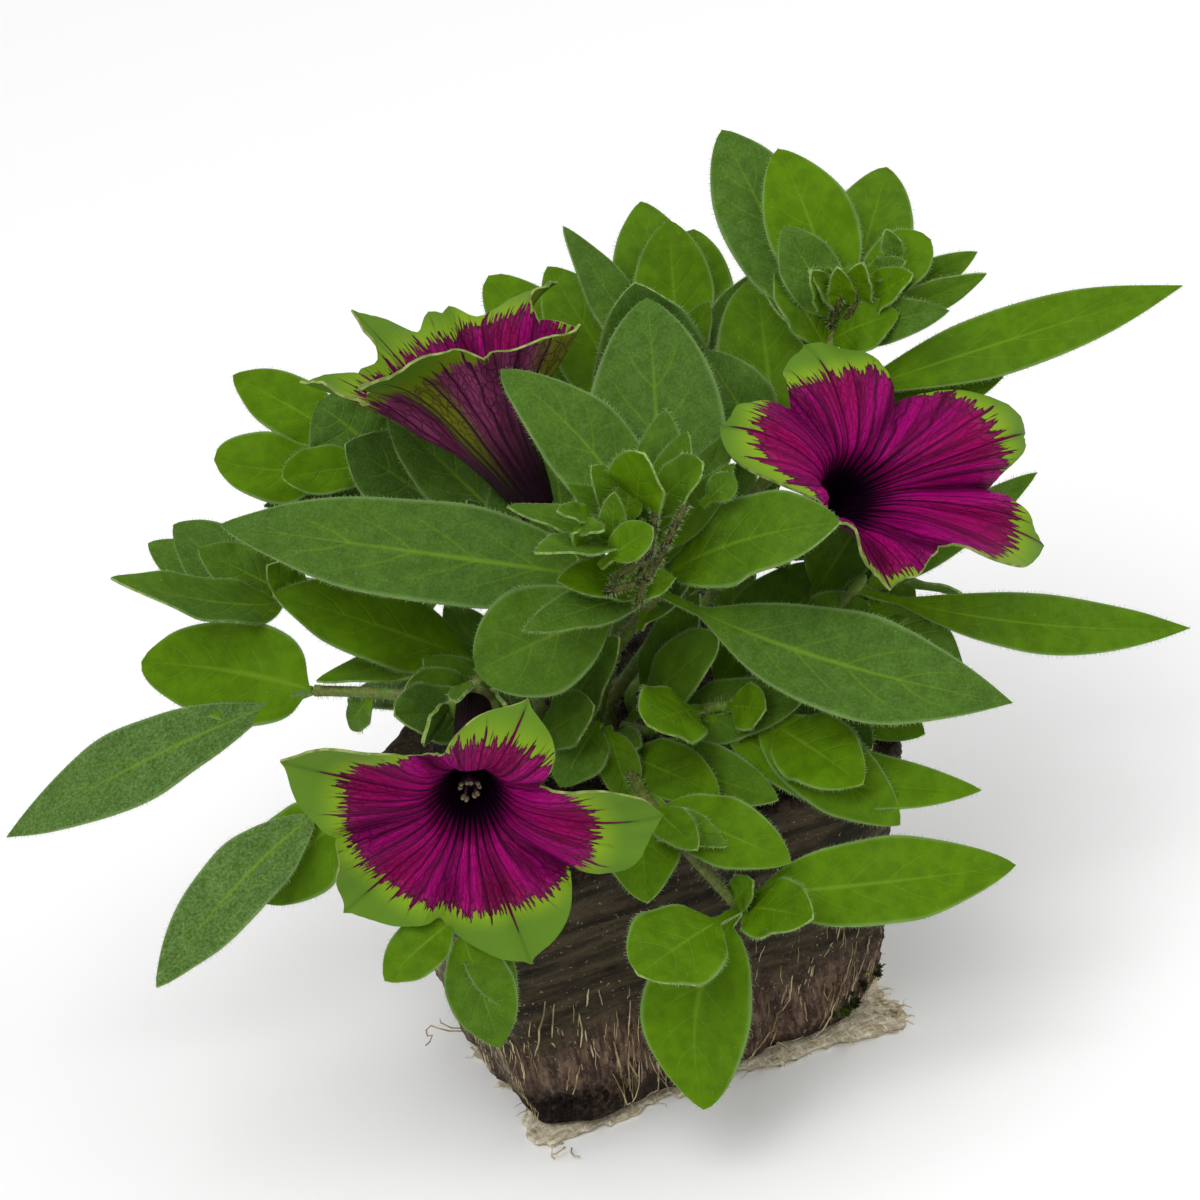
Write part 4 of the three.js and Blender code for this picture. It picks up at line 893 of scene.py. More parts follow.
# Each row is a leaf: how far up the stem it grows, its tip as seen, its width,
# arch and tone, and where they are not plain, its kind, its roll and how far it
# bows sideways. A young leaf starts at a place as seen instead
grow_shoot("centre", 4, -80, ((4, 12, 18), (11.5, 25, 36), (8.5, 34, 40)), (
    (0.8, -59, 33, 22, 16.5, 4, 0.2, "lance", 0, -1.5),
    (0.82, 40.5, 33.5, 46, 14.5, 4, 0.6, "oval", -8, -1.5),
    (0.78, 68, 4.5, 40, 16.5, 5, 0.2, "paddle", 0, 6.5),
    (0.76, -18, 9.5, 52, 17, 5, 0.45, "spoon", -10),
    (0.77, -10.5, 16, 56, 6.5, 2, 0.35, "lance"),
    (0.74, 9.5, 69.5, 22, 21, 3, 0.15, "oval", 0, 2.5),
    (0.8, -14, 58, 36, 13.5, 4, 0.3, "oval", 10, 7),
    (0.8, -5, 24, 48, 7, 2, 0.95),
    (0.92, -8.5, 28.5, 56, 8, 2, 0.5, "lance", 30),
    (0.9, -13, 36, 50, 6, 1.5, 0.5, "lance", 30),
    (0.95, -3.5, 39.5, 50, 4, 1, 0.5, "lance"),
    (0.95, 0.5, 42.5, 53, 7.5, 2, 0.6),
    (0.98, 9, 44.5, 54, 9.5, 3, 0.95, "spoon"),
    (0.97, 18.5, 43, 51, 8, 2.5, 0.7, "spoon", -15),
    (0.93, 12.5, 51.5, 42, 7.5, 2, 0.4),
    (0.94, 16, 48, 46, 6, 1.5, 0.6),
    (0.93, 24, 48.5, 46, 5, 1.5, 0.4, "lance", 20),
    (0.9, 23.5, 43, 48, 5, 1.5, 0.6, "lance", 20),
), bud=2.2, young=(
    ((4, 30.4, 50), 4.2, 38.3, 55, 3.8, 0.8, 0.6, "round"),
    ((1.8, 26.3, 50), 10.4, 32.7, 55, 5.5, 1.2, 0.75, "spoon", 10),
    ((0.6, 33.8, 50), -5, 35.3, 54, 3.2, 0.6, 0.6, "round", 20),
    ((-2.4, 31.9, 51), 2.6, 32.2, 56, 3, 0.6, 0.6, "round", -20),
    ((-1, 28.5, 50), -2.5, 31.6, 56, 3, 0.4, 0.8, "round"),
    ((6, 34, 48), 7.5, 41.5, 50, 4, 0.8, 0.55, "round"),
    ((18, 36, 46), 23.5, 41, 47, 4, 1, 0.5, "spoon", 20),
    ((-3, 27, 14), -6, 48.5, 12, 9.5, 2, 0.25),
    ((36, 21, 10), 45.5, 36, 8, 11, 2, 0.45),
    ((34, 20, 10), 53, 29.5, 6, 9, 2, 0.6),
    ((6, 22, 44), 14, 24.5, 46, 4.5, 1, 0.7),
    ((-8, 26, 12), -14, 41, 8, 9, 2, 0.2),
    ((-8, 28, 6), -32, 51, 2, 12, 2, 0.2),
    ((8, 16, 30), 16.5, 30.5, 26, 7, 1.5, 0.3),
    ((2, 1.5, 22), -4.5, -9, 26, 9, 1.5, 0.4),
    ((3, 1, 22), 7, -12, 24, 6, 1, 0.7),
    ((16, 22, 14), 27, 30.5, 12, 7, 2, 0.4),
    ((-2, 12, 16), 3.5, 26.5, 14, 7, 1.5, 0.1, "spoon"),
))
grow_shoot("upper_right", 4, -5, ((18, 25, 8), (34, 50, 14), (42, 70, 12)), (
    (0.91, 21.5, 96.5, 4, 15, 3, 0.25, "oval", 0, -1),
    (0.94, 30.5, 93.5, 10, 14, 2, 0.9, "oval", 0, 2),
    (0.95, 48, 90.5, 2, 13.5, 2, 0.65, "oval", 0, 1),
    (0.94, 31.5, 81, 20, 9, 2, 0.3),
    (0.86, 25.5, 76, 12, 6.5, 2, 0.5, "lance", 45),
    (0.88, 30, 73.5, 20, 9, 2, 0.65, "oval", 30),
    (0.97, 55, 79, 14, 9.5, 2, 0.8, "spoon"),
    (0.95, 62.5, 77, 14, 6, 2, 0.6, "lance", 40),
    (0.93, 64, 73.5, 19, 5.5, 2, 0.6, "lance", 50),
    (0.9, 58, 67.5, 30, 6.2, 2, 0.3, "lance", 20, -2),
    (0.91, 50, 67, 34, 8.5, 3, 0.75, "oval", 10),
    (0.97, 35.5, 74, 24, 5, 1.5, 0.7, "lance"),
    (0.99, 44.5, 75, 20, 5, 1.5, 0.8),
    (0.99, 52, 73.5, 24, 6, 2, 0.85, "oval", 10),
    (0.78, 95.5, 71.5, 14, 10, 2, 0.75, "paddle", 10),
    (0.72, 67.5, 58, 8, 8, 2, 0.7, "oval", 10, 2),
    (0.68, 27, 73, 4, 15, 3, 0.7),
    (0.66, 18.5, 61, 16, 11, 3, 0.2),
), bud=2.4, young=(
    ((44.7, 68.3, 16), 52.2, 73.3, 24, 6.2, 1.5, 1, "round"),
    ((49.4, 75, 18), 47.8, 80.6, 22, 2.8, 0.6, 0.5),
    ((38, 68.6, 16), 35.8, 73.9, 24, 4.4, 1, 0.7, "round"),
    ((43.2, 68.6, 17), 44, 75.2, 25, 4.6, 1, 1, "round"),
    ((45.5, 73.2, 18), 51, 75.4, 22, 3, 0.8, 0.4, "round", 10),
    ((41, 68.5, 17), 40, 74.5, 25, 3.6, 1, 0.9, "round", -10),
))
grow_shoot("top", 4, 35, ((8, 28, -3), (14, 50, -6), (15, 60, -6)), (
    (0.95, 13, 82, -4, 12.5, 2, 0.85),
    (0.93, 8.5, 85, -12, 14, 2, 0.7),
    (0.92, 17, 80.5, -16, 15, 3, 0.75),
    (0.82, -4, 81, -6, 8.5, 2, 0.3, "lance", 20, 2.5),
    (0.78, 7.5, 72, 6, 18, 3, 0.2),
    (0.88, 26.5, 73.5, 0, 9, 2, 0.3, "lance", 45),
    (0.97, 19.5, 69, 4, 5, 1.5, 0.7, "lance"),
    (0.75, -6.5, 74.5, -16, 14, 3, 0.75),
    (0.7, -16, 73, -20, 12, 2, 0.8, "spoon"),
))
grow_shoot("upper_left", 8.5, 96, ((-10, 18, -8), (-24, 38, -12), (-40, 47, -14)), (
    (0.95, -57, 57, -16, 10, 2, 0.9),
    (0.92, -60, 43.5, -10, 12, 2, 0.9, "spoon", 0, -6),
    (0.85, -49, 40.5, -2, 8.5, 2, 0.95, "spoon"),
    (0.88, -43.5, 52.5, -8, 18, 3, 0.15),
    (0.6, -39, 46, 2, 16, 3, 0.1),
    (0.93, -51.5, 49, -14, 6.5, 1.5, 0.3, "lance", 20),
    (0.8, -52, 36, -8, 6.5, 1.5, 0.3, "lance"),
    (0.52, -26, 48, -2, 12, 2, 0.6),
    (0.42, -19.5, 37, 8, 7, 2, 0.3, "lance", 20),
))
grow_shoot("left_back", 8.5, 156, ((-20, 14, 6), (-34, 19, 2), (-48, 21, -5)), (
    (0.96, -66.5, 33, -6, 11.5, 2, 0.2, "oval", 0, -3),
    (0.94, -70.5, 30, -14, 9.5, 2, 0.4, "oval", 0, -3),
    (0.97, -62.5, 29, 2, 8.5, 1.5, 0.5),
    (0.98, -76.5, 24.5, 6, 10, 2, 0.5, "lance", 20, -8),
    (0.95, -51.5, 26.5, 4, 6.5, 1, 0.7, "lance"),
    (0.38, -50.5, 22, 14, 12.5, 3, 0.8),
    (0.4, -43.5, 8, 12, 7.5, 2, 0.7, "lance", 30),
    (0.28, -23, 20.5, 12, 8, 2, 0.4),
))
grow_shoot("left", 8.5, 186, ((-20, 4, 16), (-33, 6, 14), (-44, 6.5, 10)), (
    (1, -71.5, 11, 12, 16, 2, 0.95, "round", -10, 1.5),
    (1, -93, -17, 12, 12.6, 4, -0.5, "paddle", 0, 1.5),
    (0.8, -38, 0.5, 6, 5, 1, 0.5),
    (0.62, -37, 6.5, 4, 7, 1.5, 0.35),
    (0.36, -29.5, 6.5, 26, 9.5, 2, 0.5, "spoon"),
    (0.32, -31, 2.5, 26, 10.5, 2, 0.3, "spoon"),
    (0.33, -26.5, 11.5, 24, 8, 2, 0.5),
))
grow_shoot("left_front", 8.5, 214, ((-10, -3, 20), (-30, -10, 34), (-46, -11.5, 32)), (
    (0.92, -69, -41, 42, 11, 4, -0.5, "lance", 0, 2.5),
    (0.85, -53, -27, 30, 14, 2, 0.8),
    (0.36, 1, 4, 32, 8.5, 1.5, 0.5, "spoon"),
    (0.2, 5, 15, 34, 9, 2, 0.5),
))
grow_shoot("front_left", 8.5, 241, ((-8, -8, 22), (-16, -22, 38), (-21, -30, 46)), (
    (1, -32.5, -40, 46, 8, 2, 0.75),
    (1, -14, -50.5, 45, 10, 2, 0.6, "lance"),
    (0.98, -12, -44.5, 42, 6.5, 1.5, 0.6, "lance"),
))
grow_shoot("front", 8.5, -92, ((5, -4, 17), (11.5, -14, 34.5), (18, -21.5, 37), (24.5, -28.5, 34)), (
    (1, 8, -39, 46, 14.5, 2, 0.85, "spoon"),
    (1, 18.5, -60.5, 32, 16.5, 3, 0.85, "oval", 0, 7.5),
    (0.95, 68.5, -21.5, 22, 13.5, 3, 0.85, "lance", 0, 2),
    (1, 36, -30, 38, 10, 2, 0.85),
    (0.98, 26.5, -24, 42, 5, 1, 0.7),
    (0.62, 32.5, -21, 42, 10.5, 2, 0.8),
    (0.63, 17.5, -19, 44, 5.5, 1, 0.7),
    (0.64, 22, -18.5, 42, 4.5, 1, 0.5, "lance"),
    (0.5, 9.5, -27.5, 38, 12, 2, 0.8),
    (0.3, 21, -10.5, 36, 9.5, 2, 0.8),
    (0.3, 30.5, -11, 36, 10, 2, 0.55),
    (0.2, 8.5, -2.5, 24, 4.5, 1, 0.7),
))
grow_shoot("front_right", 8.5, -62, ((10, 0, 15), (22, 4, 24), (29.5, 1, 26)), (
    (0.72, 9.5, 1, 36, 11.5, 2, 0.85, "spoon", -8),
    (1, 44, -8.5, 38, 12, 2, 0.9),
    (0.9, 50, -15, 26, 12, 2, 0.75),
    (0.7, 63, -9.5, 28, 10, 2, 0.8, "lance", 0, 9),
    (0.82, 28.5, 3.5, 32, 7, 1.5, 0.8, "spoon", 20),
    (0.25, 21, 15, 42, 9.5, 2, 0.6, "spoon"),
    (0.5, 34.5, 5, 23, 10, 2, 0.45),
))
grow_shoot("right", 8.5, -32, ((18, 5, 6), (34, 12, 12), (44.5, 25, 18)), (
    (0.95, 96.5, 16.5, 16, 9, 2, 0.7, "paddle", 10, 5),
    (0.9, 60, 10, 6, 10, 2, 0.5),
    (0.85, 54, 18, -4, 5, 1.5, 0.5, "lance", 20),
    (0.6, 54, -0.5, 6, 11, 2, 0.7),
    (0.6, 45.5, -3, 25, 10, 2, 0.2),
    (0.7, 45, 20.5, 18, 11, 2, 0.55),
    (0.8, 52.5, 22.5, 12, 10, 2, 0.65),
    (0.4, 36, 27, 20, 11.5, 2, 0.55),
    (0.9, 72, 41.5, 0, 6, 1.5, 0.5, "lance", 30),
    (0.2, 18, 22, 30, 8, 2, 0.5),
))
grow_shoot("back_left", 8.5, 126, ((-10, 8, -8), (-20, 13, -18), (-34, 24, -28)), (
    (0.5, -38, 20, -20, 12, 2, 0.5),
    (0.75, -28, 38, -34, 14, 3, 0.35),
    (0.9, -48, 32, -32, 14, 3, 0.6),
    (1, -36, 42, -44, 15, 3, 0.4),
    (0.9, -46, 22, -40, 13, 3, 0.7),
), behind=True)
grow_shoot("back_right", 8.5, 66, ((0, 14, -12), (5, 30, -24), (9, 44, -36)), (
    (0.4, -6, 34, -26, 12, 2, 0.4),
    (0.6, 20, 34, -28, 14, 3, 0.6),
    (0.9, 26, 50, -38, 15, 3, 0.3),
    (1, 10, 62, -40, 14, 3, 0.7),
    (1, 0, 46, -54, 13, 3, 0.5),
    (1, 30, 58, -34, 13, 3, 0.8),
), behind=True)
grow_shoot("right_back", 8.5, 38, ((7.5, 8.5, -8), (22, 14, -14), (36, 22, -18)), (
    (0.8, 44, 15.5, -14, 13, 3, 0.5),
    (1, 52, 30, -22, 14, 3, 0.7),
    (1, 46, 40, -28, 14, 3, 0.35),
    (0.7, 24.5, 43.5, -26, 15, 2, 0.5),
    (1, 60, 22, -10, 12, 3, 0.6),
), behind=True)

# The short brown stalks of the young shoots, at the crown and at the upper
# right: soft, downy stems that the smallest leaves grow from. Each is given
# by places as seen, and is rooted in the joint of the big leaves below it.
brown_stalk = mottled(
    "young_brown_stalk", 0.6, 0.2, 0.0012, 0.35, 0.65, (42, 30, 20), (78, 82, 30), 4, 0, 0.0001
)
lines, down = [], []
for places in (
    ((8.2, 24, 47), (9.8, 29, 50), (10.6, 34, 52), (11, 38, 52)),
    ((9, 24, 47), (12, 29, 50), (14, 33, 52), (16, 37, 51)),
    ((3, 22.5, 47), (5.5, 23, 49), (8.5, 24, 48)), ((4, 24, 47), (7, 26.5, 50), (8.6, 28, 50)),
    ((8, 20, 44), (8.6, 22.5, 48), (9.2, 25, 48)), ((38.9, 65.1, 14), (40, 68, 18), (41.2, 71.4, 20)),
    ((40.5, 65, 14), (42.5, 67.5, 18), (44, 70, 19)), ((41.5, 64.5, 14), (44, 66, 17), (47, 68.5, 18)),
):
    line = stem_line([np.array(seen(*place)) for place in places])
    radii = np.linspace(0.0007, 0.0005, len(line))
    lines.append((line[::3], radii[::3]))
    down.append(stem_down(line, radii, 22))
finish_piece(tubes(lines, brown_stalk), "young_stalks", "flower_stalk")
hairs(down, "young_stalk_hairs", "flower_stalk", 0.00005)

# The flower stalks: each rises out of the peat among the shoots, hairy like
# them, and widens into a small cup with five narrow sepals that hold the tube.
petal_gap, sepal_thick, stalk_radius, sepal_count = 0.0011, 0.0006, 0.00085, 5

# A lobe is given as the way it points, its length from the throat, how far it
# opens from the axis and bends back, the length and opening of the notch after
# it, and how far the purple reaches
flowers = (
    {
        "stalk": (8.5, 10, ((15, 15, -12), (21, 24, -14))),
        "throat": (42.5, 38, 28), "faces": (0.416, 0.174, 0.893), "tube": 30, "neck": 6, "anthers": 14,
        "lobes": (
            (-16, 29, 62, 50, 18, 71, 21), (18, 29, 58, 65, 13, 95, 20), (100, 22.5, 90, 75, 12, 92, 13.5),
            (155, 23, 66, 120, 11.5, 14, 16), (263, 18, 43, 15, 14.5, 25, 14.6),
        ),
    },
    {
        "stalk": (4, 100, ((-1, 10, 6), (-2, 18, 8))),
        "throat": (-14.5, 46.5, 15), "faces": (-0.52, 0.82, 0.24), "tube": 23, "neck": 2.2, "anthers": 5,
        "lobes": (
            (-55, 31, 16, 50, 17.5, 25, 18), (49, 19, 66, -20, 15, 30, 17), (98, 26, 30, 70, 23, 20, 18),
            (197, 29.5, 10, 8, 21, 15, 18), (242, 29, 28, 11, 19.5, 20, 19.5),
        ),
    },
    {
        "stalk": (4, 200, ((-6, 9, 8), (-14, 12, 16))),
        "throat": (-19, -11, 55), "faces": (0, -0.454, 0.891), "tube": 30, "neck": 6, "anthers": 4,
        "lobes": (
            (-1, 26, 64, 60, 11.5, 34, 15), (68, 24.5, 31, 100, 9.5, 30, 17),
            (159, 25.5, 73, 10, 15.5, 74, 15), (223, 21, 94, -20, 14.5, 94, 12.5),
            (289, 23, 94, -15, 13.5, 84, 12.5),
        ),
    },
)
stalk_finish = stem_finish(
    "flower_stalk", 0.0014, 0.006, (0.4, 0.62), (112, 148, 48), (92, 84, 52), (160, 182, 100)
)
for number, flower in enumerate(flowers, 1):
    axis = rightward * flower["faces"][0] + upward * flower["faces"][1] + toward * flower["faces"][2]
    axis.normalize()
    east = upward.cross(axis).normalized()
    axis, east, north = (np.array(v) for v in (axis, east, axis.cross(east)))
    mouth = np.array(seen(*flower["throat"]))
    foot = mouth - axis * flower["tube"] * 0.001
    flower.update(axis=axis, east=east, north=north, mouth=mouth, foot=foot)
    line = stem_path(*flower["stalk"], ends=(foot - axis * 0.008, foot - axis * petal_gap))
    cup_end = foot - axis * 0.0004
    radii = np.full(len(line), stalk_radius)
    rise = np.linspace(-3.6, 0, 16)
    cup = np.interp(rise, (-3.6, -3.2, -2.4, -1.6, -0.8, 0), (0.8, 1.0, 2.0, 2.8, 3.45, 4.0))
    rings = [(line[::4], radii[::4]), (cup_end + axis * rise[:, None] * 0.001, cup * 0.001)]
    stem = tubes(rings, stalk_finish, 14)
    blades, down = [], [stem_down(line[bare_foot:], radii[bare_foot:], 22, 0.0013)]
    for i in range(sepal_count):
        turn = (i + 0.5) / sepal_count * 2 * math.pi
        outward = east * math.cos(turn) + north * math.sin(turn)
        base = cup_end - axis * 0.0012 + outward * 0.0037
        tip = cup_end + axis * 0.012 + outward * 0.0075
        across = np.cross((tip - base) / np.linalg.norm(tip - base), outward)
        across /= np.linalg.norm(across)
        sepal = new_leaf(base, tip, across, i, width=3, veins=5)
        blades.append(grow_leaf(sepal))
        down.append(leaf_down(sepal, 2))
    sepals = make_skin(blades, (leaf_top, leaf_under, leaf_rim, stalk_finish), sepal_thick)
    joined(sepals, stem)
    finish_piece(sepals, f"stalk_and_sepals_{number}", "flower_stalk", f"flower_stalk_{number}")
    hairs(down, f"stalk_hairs_{number}", "flower_stalk")

# The flowers: a soft tube that flares into a limb of five pointed lobes. The
# limb is velvety purple with a net of dark veins, and its lobes run out green.
# Each is one thin petal skin, held in its cup of sepals.
petal_disc, tube_share, throat_flare, purple_edge = 14, 0.3, 20, 15.0
petal_thick, petal_weld, arc_steps = 0.00045, 0.000003, 24
tube_foot, tube_widens = 2.6, 3.4


def petal_skin(flower, ray, along):
    """Places on a flower: ray runs from 0 to 5 round it, along from the tube's
    foot to the limb's edge. Also how far beyond the throat, in millimetres."""
    way, longest, opens, bends, notch_long, notch_opens, purple = np.array(flower["lobes"], float).T
    index = np.minimum(ray.astype(int), 4)
    step = (ray - index) * 2 - 1
    off = np.abs(step)
    beside = (index + np.where(step < 0, 4, 1)) % 5
    notch = np.where(step < 0, beside, index)
    gap = (way[beside] - way[index]) * np.where(step < 0, -1, 1) % 360
    turn = np.radians(way[index] + step * gap / 2)
    bend = bends[index] + (bends[beside] - bends[index]) / 2 * off**2
    flare = opens[index] + (notch_opens[notch] - opens[index]) * off**2 * (3 - 2 * off)
    near_notch = np.clip((off - 0.6) / 0.4, 0, 1)
    length = petal_disc + (longest[index] - petal_disc) * (1 - off**1.3)
    length += (notch_long[notch] - petal_disc) * near_notch**2 * (3 - 2 * near_notch)
    length -= 1.5 * (1 - np.exp(-off / 0.07)) * (1 - off) ** 2
    depth = np.clip(1 - along / tube_share, 0, 1)
    share = np.clip((along - tube_share) / (1 - tube_share), 0, 1)
    arc = share * length
    out = tube_foot + tube_widens * (1 - depth) ** flower["neck"]
    rise = -flower["tube"] * depth
    for i in range(arc_steps):
        here = (i + 0.5) / arc_steps * arc
        opened = np.minimum(1, here / 8)
        opened = opened * (2 - opened)
        bent = bend * np.clip((here - 6) / 20, 0, None) ** 1.3
        angle = np.radians(throat_flare + (flare - throat_flare) * opened + bent)
        out = out + np.sin(angle) * arc / arc_steps
        rise = rise + np.cos(angle) * arc / arc_steps
    half_gap = np.radians(gap / 2)
    from_notch = (1 - off) * half_gap * out
    from_middle = off * half_gap * out
    grown = np.clip((arc - 1) / 8, 0, 1)
    fold = -1.7 * np.exp(-((from_notch / 1.7) ** 2)) * grown
    pillow = 1.0 * np.sin(math.pi * np.clip(off, 0, 1)) ** 1.5 * grown * (1 - 0.6 * share**3)
    groove = -0.45 * np.exp(-((from_middle / 0.7) ** 2)) * grown
    round_way = ray / 5 * 2 * math.pi
    seed = flower["tube"] + longest.sum()
    ruffle = 0.75 * np.sin(7 * round_way + seed) + 0.5 * np.sin(12 * round_way + 2 * seed)
    ruffle += 0.25 * np.sin(23 * round_way)
    pleat = 0.09 * np.cos(8 * 2 * math.pi * off) * grown
    lift = fold + pillow + groove + ruffle * share**3 + pleat
    out = out - np.cos(angle) * lift * (arc > 0)
    rise = rise + np.sin(angle) * lift * (arc > 0)
    round_about = flower["east"] * np.cos(turn)[:, None] + flower["north"] * np.sin(turn)[:, None]
    places = flower["mouth"] + 0.001 * (flower["axis"] * rise[:, None] + round_about * out[:, None])
    reach = purple[index] + (purple[beside] - purple[index]) / 2 * off**2
    return places, np.where(arc > 0, arc * purple_edge / reach, -flower["tube"] * depth)


def petal_marks(finish):
    """What a petal's colours go by: how far beyond the throat a spot is, how far
    off its lobe's middle, the veins, their net, how far past the purple's frayed
    edge it is, and streaks. Its map's u runs round the flower."""
    arc = finish.own("arc")
    round_share = finish.map.part(0)
    angle = round_share * math.tau
    ring = {0: worked("COSINE", angle), 1: worked("SINE", angle), 2: arc * 0.022}
    drum = node_of("CombineXYZ", ring)
    off = abs(worked("FRACT", round_share * 5) * 2 - 1)
    wander = speckle(drum, 0.14, 3) * 0.3 - 0.15
    spread = worked("MAXIMUM", arc * 0.6 + 3.8, 2.4)
    veins = arc * 0
    for count, low, high, width, dark in (
        (3.5, -40, -38, 0.26, 1.0), (7, 3, 8, 0.17, 0.42), (14, 10, 14, 0.12, 0.3),
    ):
        phase = (off + wander * off) * count
        apart = abs(worked("FRACT", phase + 0.5) - 0.5) / count * spread
        line = ease(apart, width, width * 0.2, 0.0, 1.0) * ease(arc, low, high, 0.0, dark)
        veins = worked("MAXIMUM", veins, line)
    jog = node_of("TexNoise", {"Vector": drum, "Scale": 9.0, "Detail": 2.0}, "Color")
    jog = node_of("VectorMath", {0: jog, 1: (0.5, 0.5, 0.5)}, operation="SUBTRACT")
    jog = node_of("VectorMath", {0: jog, 3: 0.07}, operation="SCALE")
    jogged = node_of("VectorMath", {0: drum, 1: jog}, operation="ADD")
    cells = node_of("TexVoronoi", {"Vector": jogged, "Scale": 21.0}, "Distance", feature="DISTANCE_TO_EDGE")
    teeth = ease(speckle(drum, 1 / 34, 2, 0.6, (1, 1, 0.22)), 0.36, 0.68, -0.7, 1.5)
    spike = ease(off * spread, 0.5, 0.0, 0.0, 3.2)
    past = arc - (teeth + spike + purple_edge + veins * 1.6)
    streaks = speckle(drum, 1 / 7, 4, 0.7, (1, 1, 0.22))
    return arc, off, veins, ease(cells, 0.1, 0.01, 0.0, 1.0), past, streaks


velvet = {"Sheen_Weight": 0.04, "Sheen_Roughness": 0.35, "Sheen_Tint": (0.9, 0.1, 0.6, 1)}
petal_inside = Finish("petal_inside", 0.55, 0.06, **velvet)
arc, off, veins, net, past, streaks = petal_marks(petal_inside)
magenta = fade(streaks, 0.35, 0.65, (86, 0, 54), (158, 0, 108))
maroon = fade(streaks, 0.35, 0.65, (80, 0, 40), (136, 2, 74))
purple = tint(ease(off, 0.2, 0.62, 1.0, 0.0) * ease(arc, 2, 12, 0.2, 0.8), magenta, maroon)
# Painted shade: the purple darkens toward the notches between the lobes, where the petal folds down.
purple = fade(off, 0.72, 1.0, purple, (74, 0, 52), 0.55)
purple = tint(ease(past, -2.6, 0.0) * ease(off, 0.75, 0.95, 0.4, 0.1), purple, (134, 56, 78))
fine_net = net * ease(past, -7, 0, 0.2, 0.55)
purple = tint(worked("MAXIMUM", veins * ease(arc, 3, 12, 0.85, 0.62), fine_net), purple, (48, 0, 32))
purple = tint(ease(past, -1.3, -0.2) * 0.75, purple, (44, 0, 34))
purple = tint(ease(veins * -3.0 + arc, -4.0, 2.4, 1.0, 0.0), purple, (14, 0, 20))
lobe = fade(arc, purple_edge - 0.5, purple_edge + 5.0, (122, 153, 30), (86, 120, 34))
lobe = fade(streaks, 0.4, 0.7, lobe, (92, 128, 24), 0.2)
lobe = tint(ease(off, 0.05, 0.0) * 0.5, lobe, (66, 96, 28))
raised = (veins * -1 + net * -0.4) * ease(past, -1.0, 1.5, 1.0, 0.12)
petal_inside.paint(fade(past, -0.16, 0.1, purple, lobe), raised, 0.00025)

petal_outside = Finish("petal_outside", 0.6, 0.12)
arc, off, veins, net, past, streaks = petal_marks(petal_outside)
olive = fade(streaks, 0.35, 0.65, (82, 86, 6), (106, 112, 14))
mauve = fade(streaks, 0.35, 0.65, (80, 22, 52), (122, 50, 88))
skin = fade(off, 0.16, 0.5, olive, mauve)
skin = tint(worked("MAXIMUM", veins * 0.88, net * ease(arc, -2, 9, 0.1, 0.55)), skin, (48, 0, 34))
skin = tint(ease(arc, -9.0, 9.0, 0.96, 0.0), skin, (30, 6, 20))
lobe = fade(arc, purple_edge, purple_edge + 5.0, (92, 112, 8), (78, 110, 20))
raised = (veins + net * 0.5) * ease(past, -1.0, 1.5, 1.0, 0.12)
petal_outside.paint(fade(past, -0.6, 0.2, skin, lobe), raised, 0.00025)
petal_rim = mottled("petal_rim", 0.6, 0.3, 0.002, 0.35, 0.65, (92, 110, 36), (140, 154, 84))

petal_blank = square_net(170, 66)
bpy.context.collection.objects.unlink(petal_blank)
for number, flower in enumerate(flowers, 1):
    corolla, side, along = from_blank(petal_blank)
    places, arcs = petal_skin(flower, (1 - side) * 2.5, along)
    put_places(corolla, places)
    carry(corolla, "arc", arcs)
    finishes = (petal_inside, petal_outside, petal_rim)
    make_skin([corolla], finishes, petal_thick, petal_weld, crease=math.radians(60))
    finish_piece(corolla, f"flower_{number}", "petal", f"corolla_{number}")

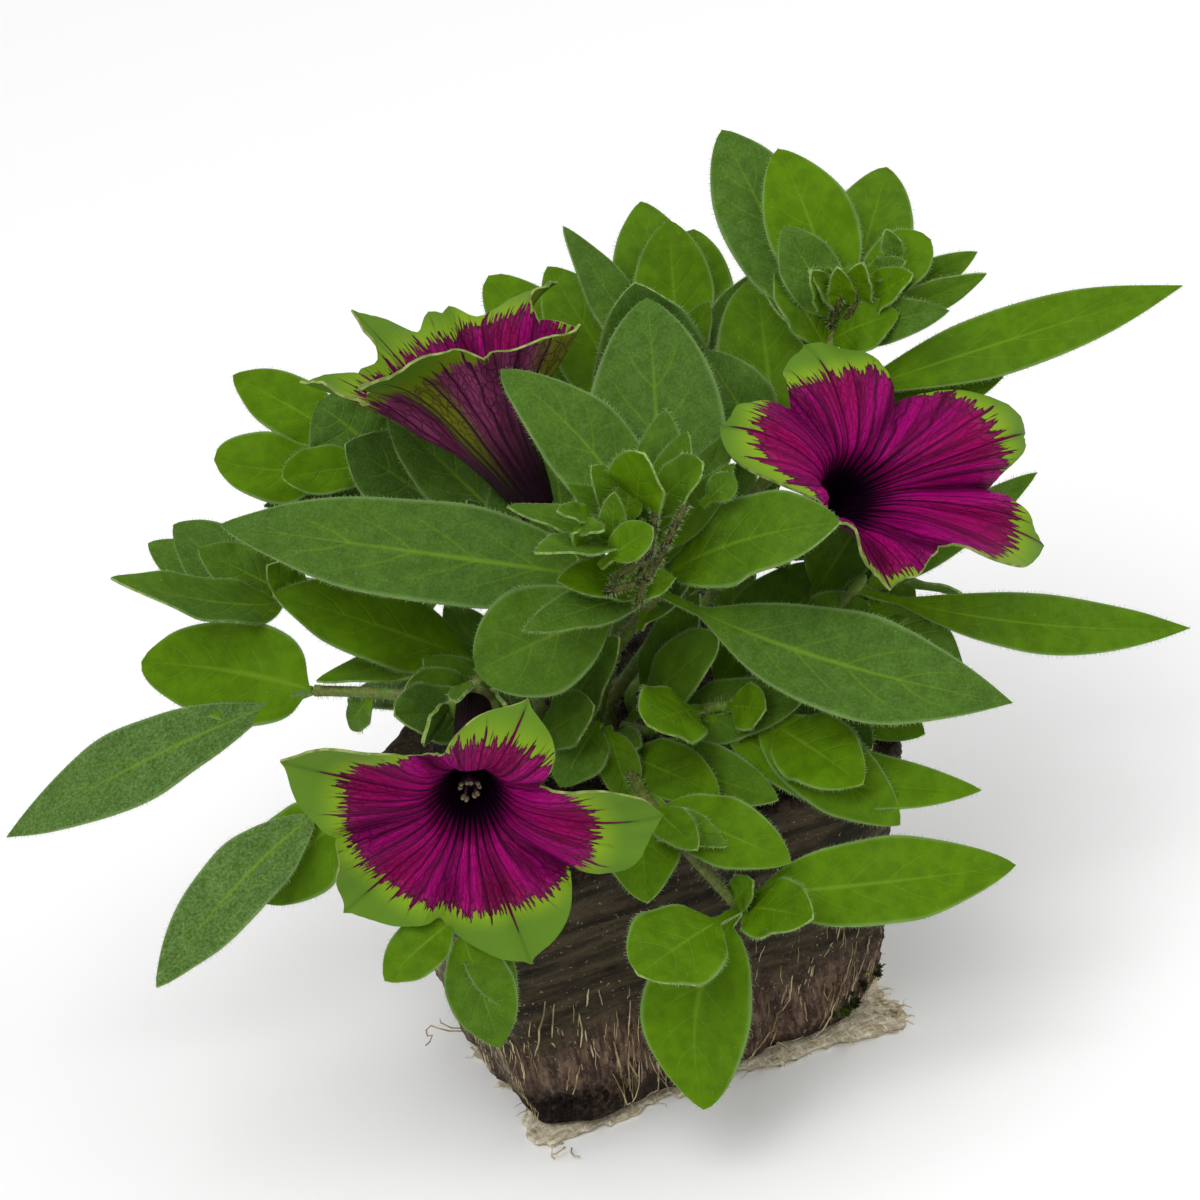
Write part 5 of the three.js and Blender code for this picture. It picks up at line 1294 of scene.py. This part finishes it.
# The stamens: five filaments grown to the tube's foot, that part below the
# throat, each with a two-lobed anther dusted with pollen, round a stigma on
# its style.
filament_finish = mottled("filament", 0.5, 0.35, 0.003, 0.4, 0.62, (104, 62, 92), (66, 26, 62))
pollen = Finish("pollen", 0.95, 0.15)
grains = speckle(pollen.place, 0.00025, 3, 0.7)
pollen.paint(fade(grains, 0.35, 0.65, (84, 72, 56), (160, 150, 116)), grains, 0.0002)
stamen_count, style_radius = 5, 0.0003
pod_wide, pod_half, knob_wide, knob_half = 0.00037, 0.0006, 0.0009, 0.0007
bulb_rise = np.array((-1, -0.85, -0.5, 0, 0.5, 0.85, 1))
bulb_wide = np.array((0.1, 0.52, 0.87, 1, 0.87, 0.52, 0.1))
for number, flower in enumerate(flowers, 1):
    axis, east, north, foot = (flower[part] for part in ("axis", "east", "north", "foot"))
    stalks, pods = [], []
    top = flower["tube"] - flower["anthers"]
    for i in range(stamen_count):
        turn = (i + 0.3) / stamen_count * 2 * math.pi
        out = east * math.cos(turn) + north * math.sin(turn)
        t = np.linspace(0, 1, 14)
        rise = 1.5 + (top + i % 2 - 1.5) * t
        reach = 0.5 + 0.9 * np.clip((t - 0.6) / 0.4, 0, 1) ** 1.4
        line = foot + 0.001 * (axis * rise[:, None] + out * reach[:, None])
        stalks.append((line, np.linspace(0.00042, 0.00024, 14)))
        for side in (-1, 1):
            middle = line[-1] + np.cross(axis, out) * side * 0.00032 + axis * 0.0002
            pod = middle + (axis * 0.8 + out * 0.5) * bulb_rise[:, None] * pod_half
            pods.append((pod, bulb_wide * pod_wide))
    style = foot + axis * np.linspace(0.0015, 0.001 * top - 0.002, 10)[:, None]
    stalks.append((style, np.full(10, style_radius)))
    stalks.append((style[-1] + axis * bulb_rise[:, None] * knob_half, bulb_wide * knob_wide))
    piece = joined(tubes(stalks, filament_finish), tubes(pods, pollen))
    finish_piece(piece, f"stamens_of_flower_{number}", "stamen", f"stamens_{number}")

# The table and the light: a plain pale floor that the plant stands on, white
# all round, with a broad soft lamp over the left front and a weaker one at the
# right. They belong to the picture, not to the plant.
pick()
bpy.ops.mesh.primitive_plane_add(size=6)
floor = bpy.context.object
floor.name = "floor"
floor_finish = Finish("pale_floor", 0.9, 0.5, Base_Color=(0.9, 0.9, 0.9, 1))
floor.data.materials.append(floor_finish.material)
world = bpy.data.worlds.new("studio")
world.use_nodes = True
background = world.node_tree.nodes["Background"]
background.inputs["Color"].default_value = (1, 1, 1, 1)
background.inputs["Strength"].default_value = 0.8
bpy.context.scene.world = world
bpy.context.scene.view_settings.view_transform = "Standard"
for name, place, size, power in (
    ("key_light", (-0.5, -0.7, 1.3), 0.9, 11), ("fill_light", (0.9, -0.4, 0.8), 0.8, 3),
):
    light = bpy.data.lights.new(name, "AREA")
    light.size = size
    light.energy = power
    lamp = bpy.data.objects.new(name, light)
    lamp.location = place
    lamp.rotation_euler = (crown - Vector(place)).to_track_quat("-Z", "Y").to_euler()
    bpy.context.collection.objects.link(lamp)
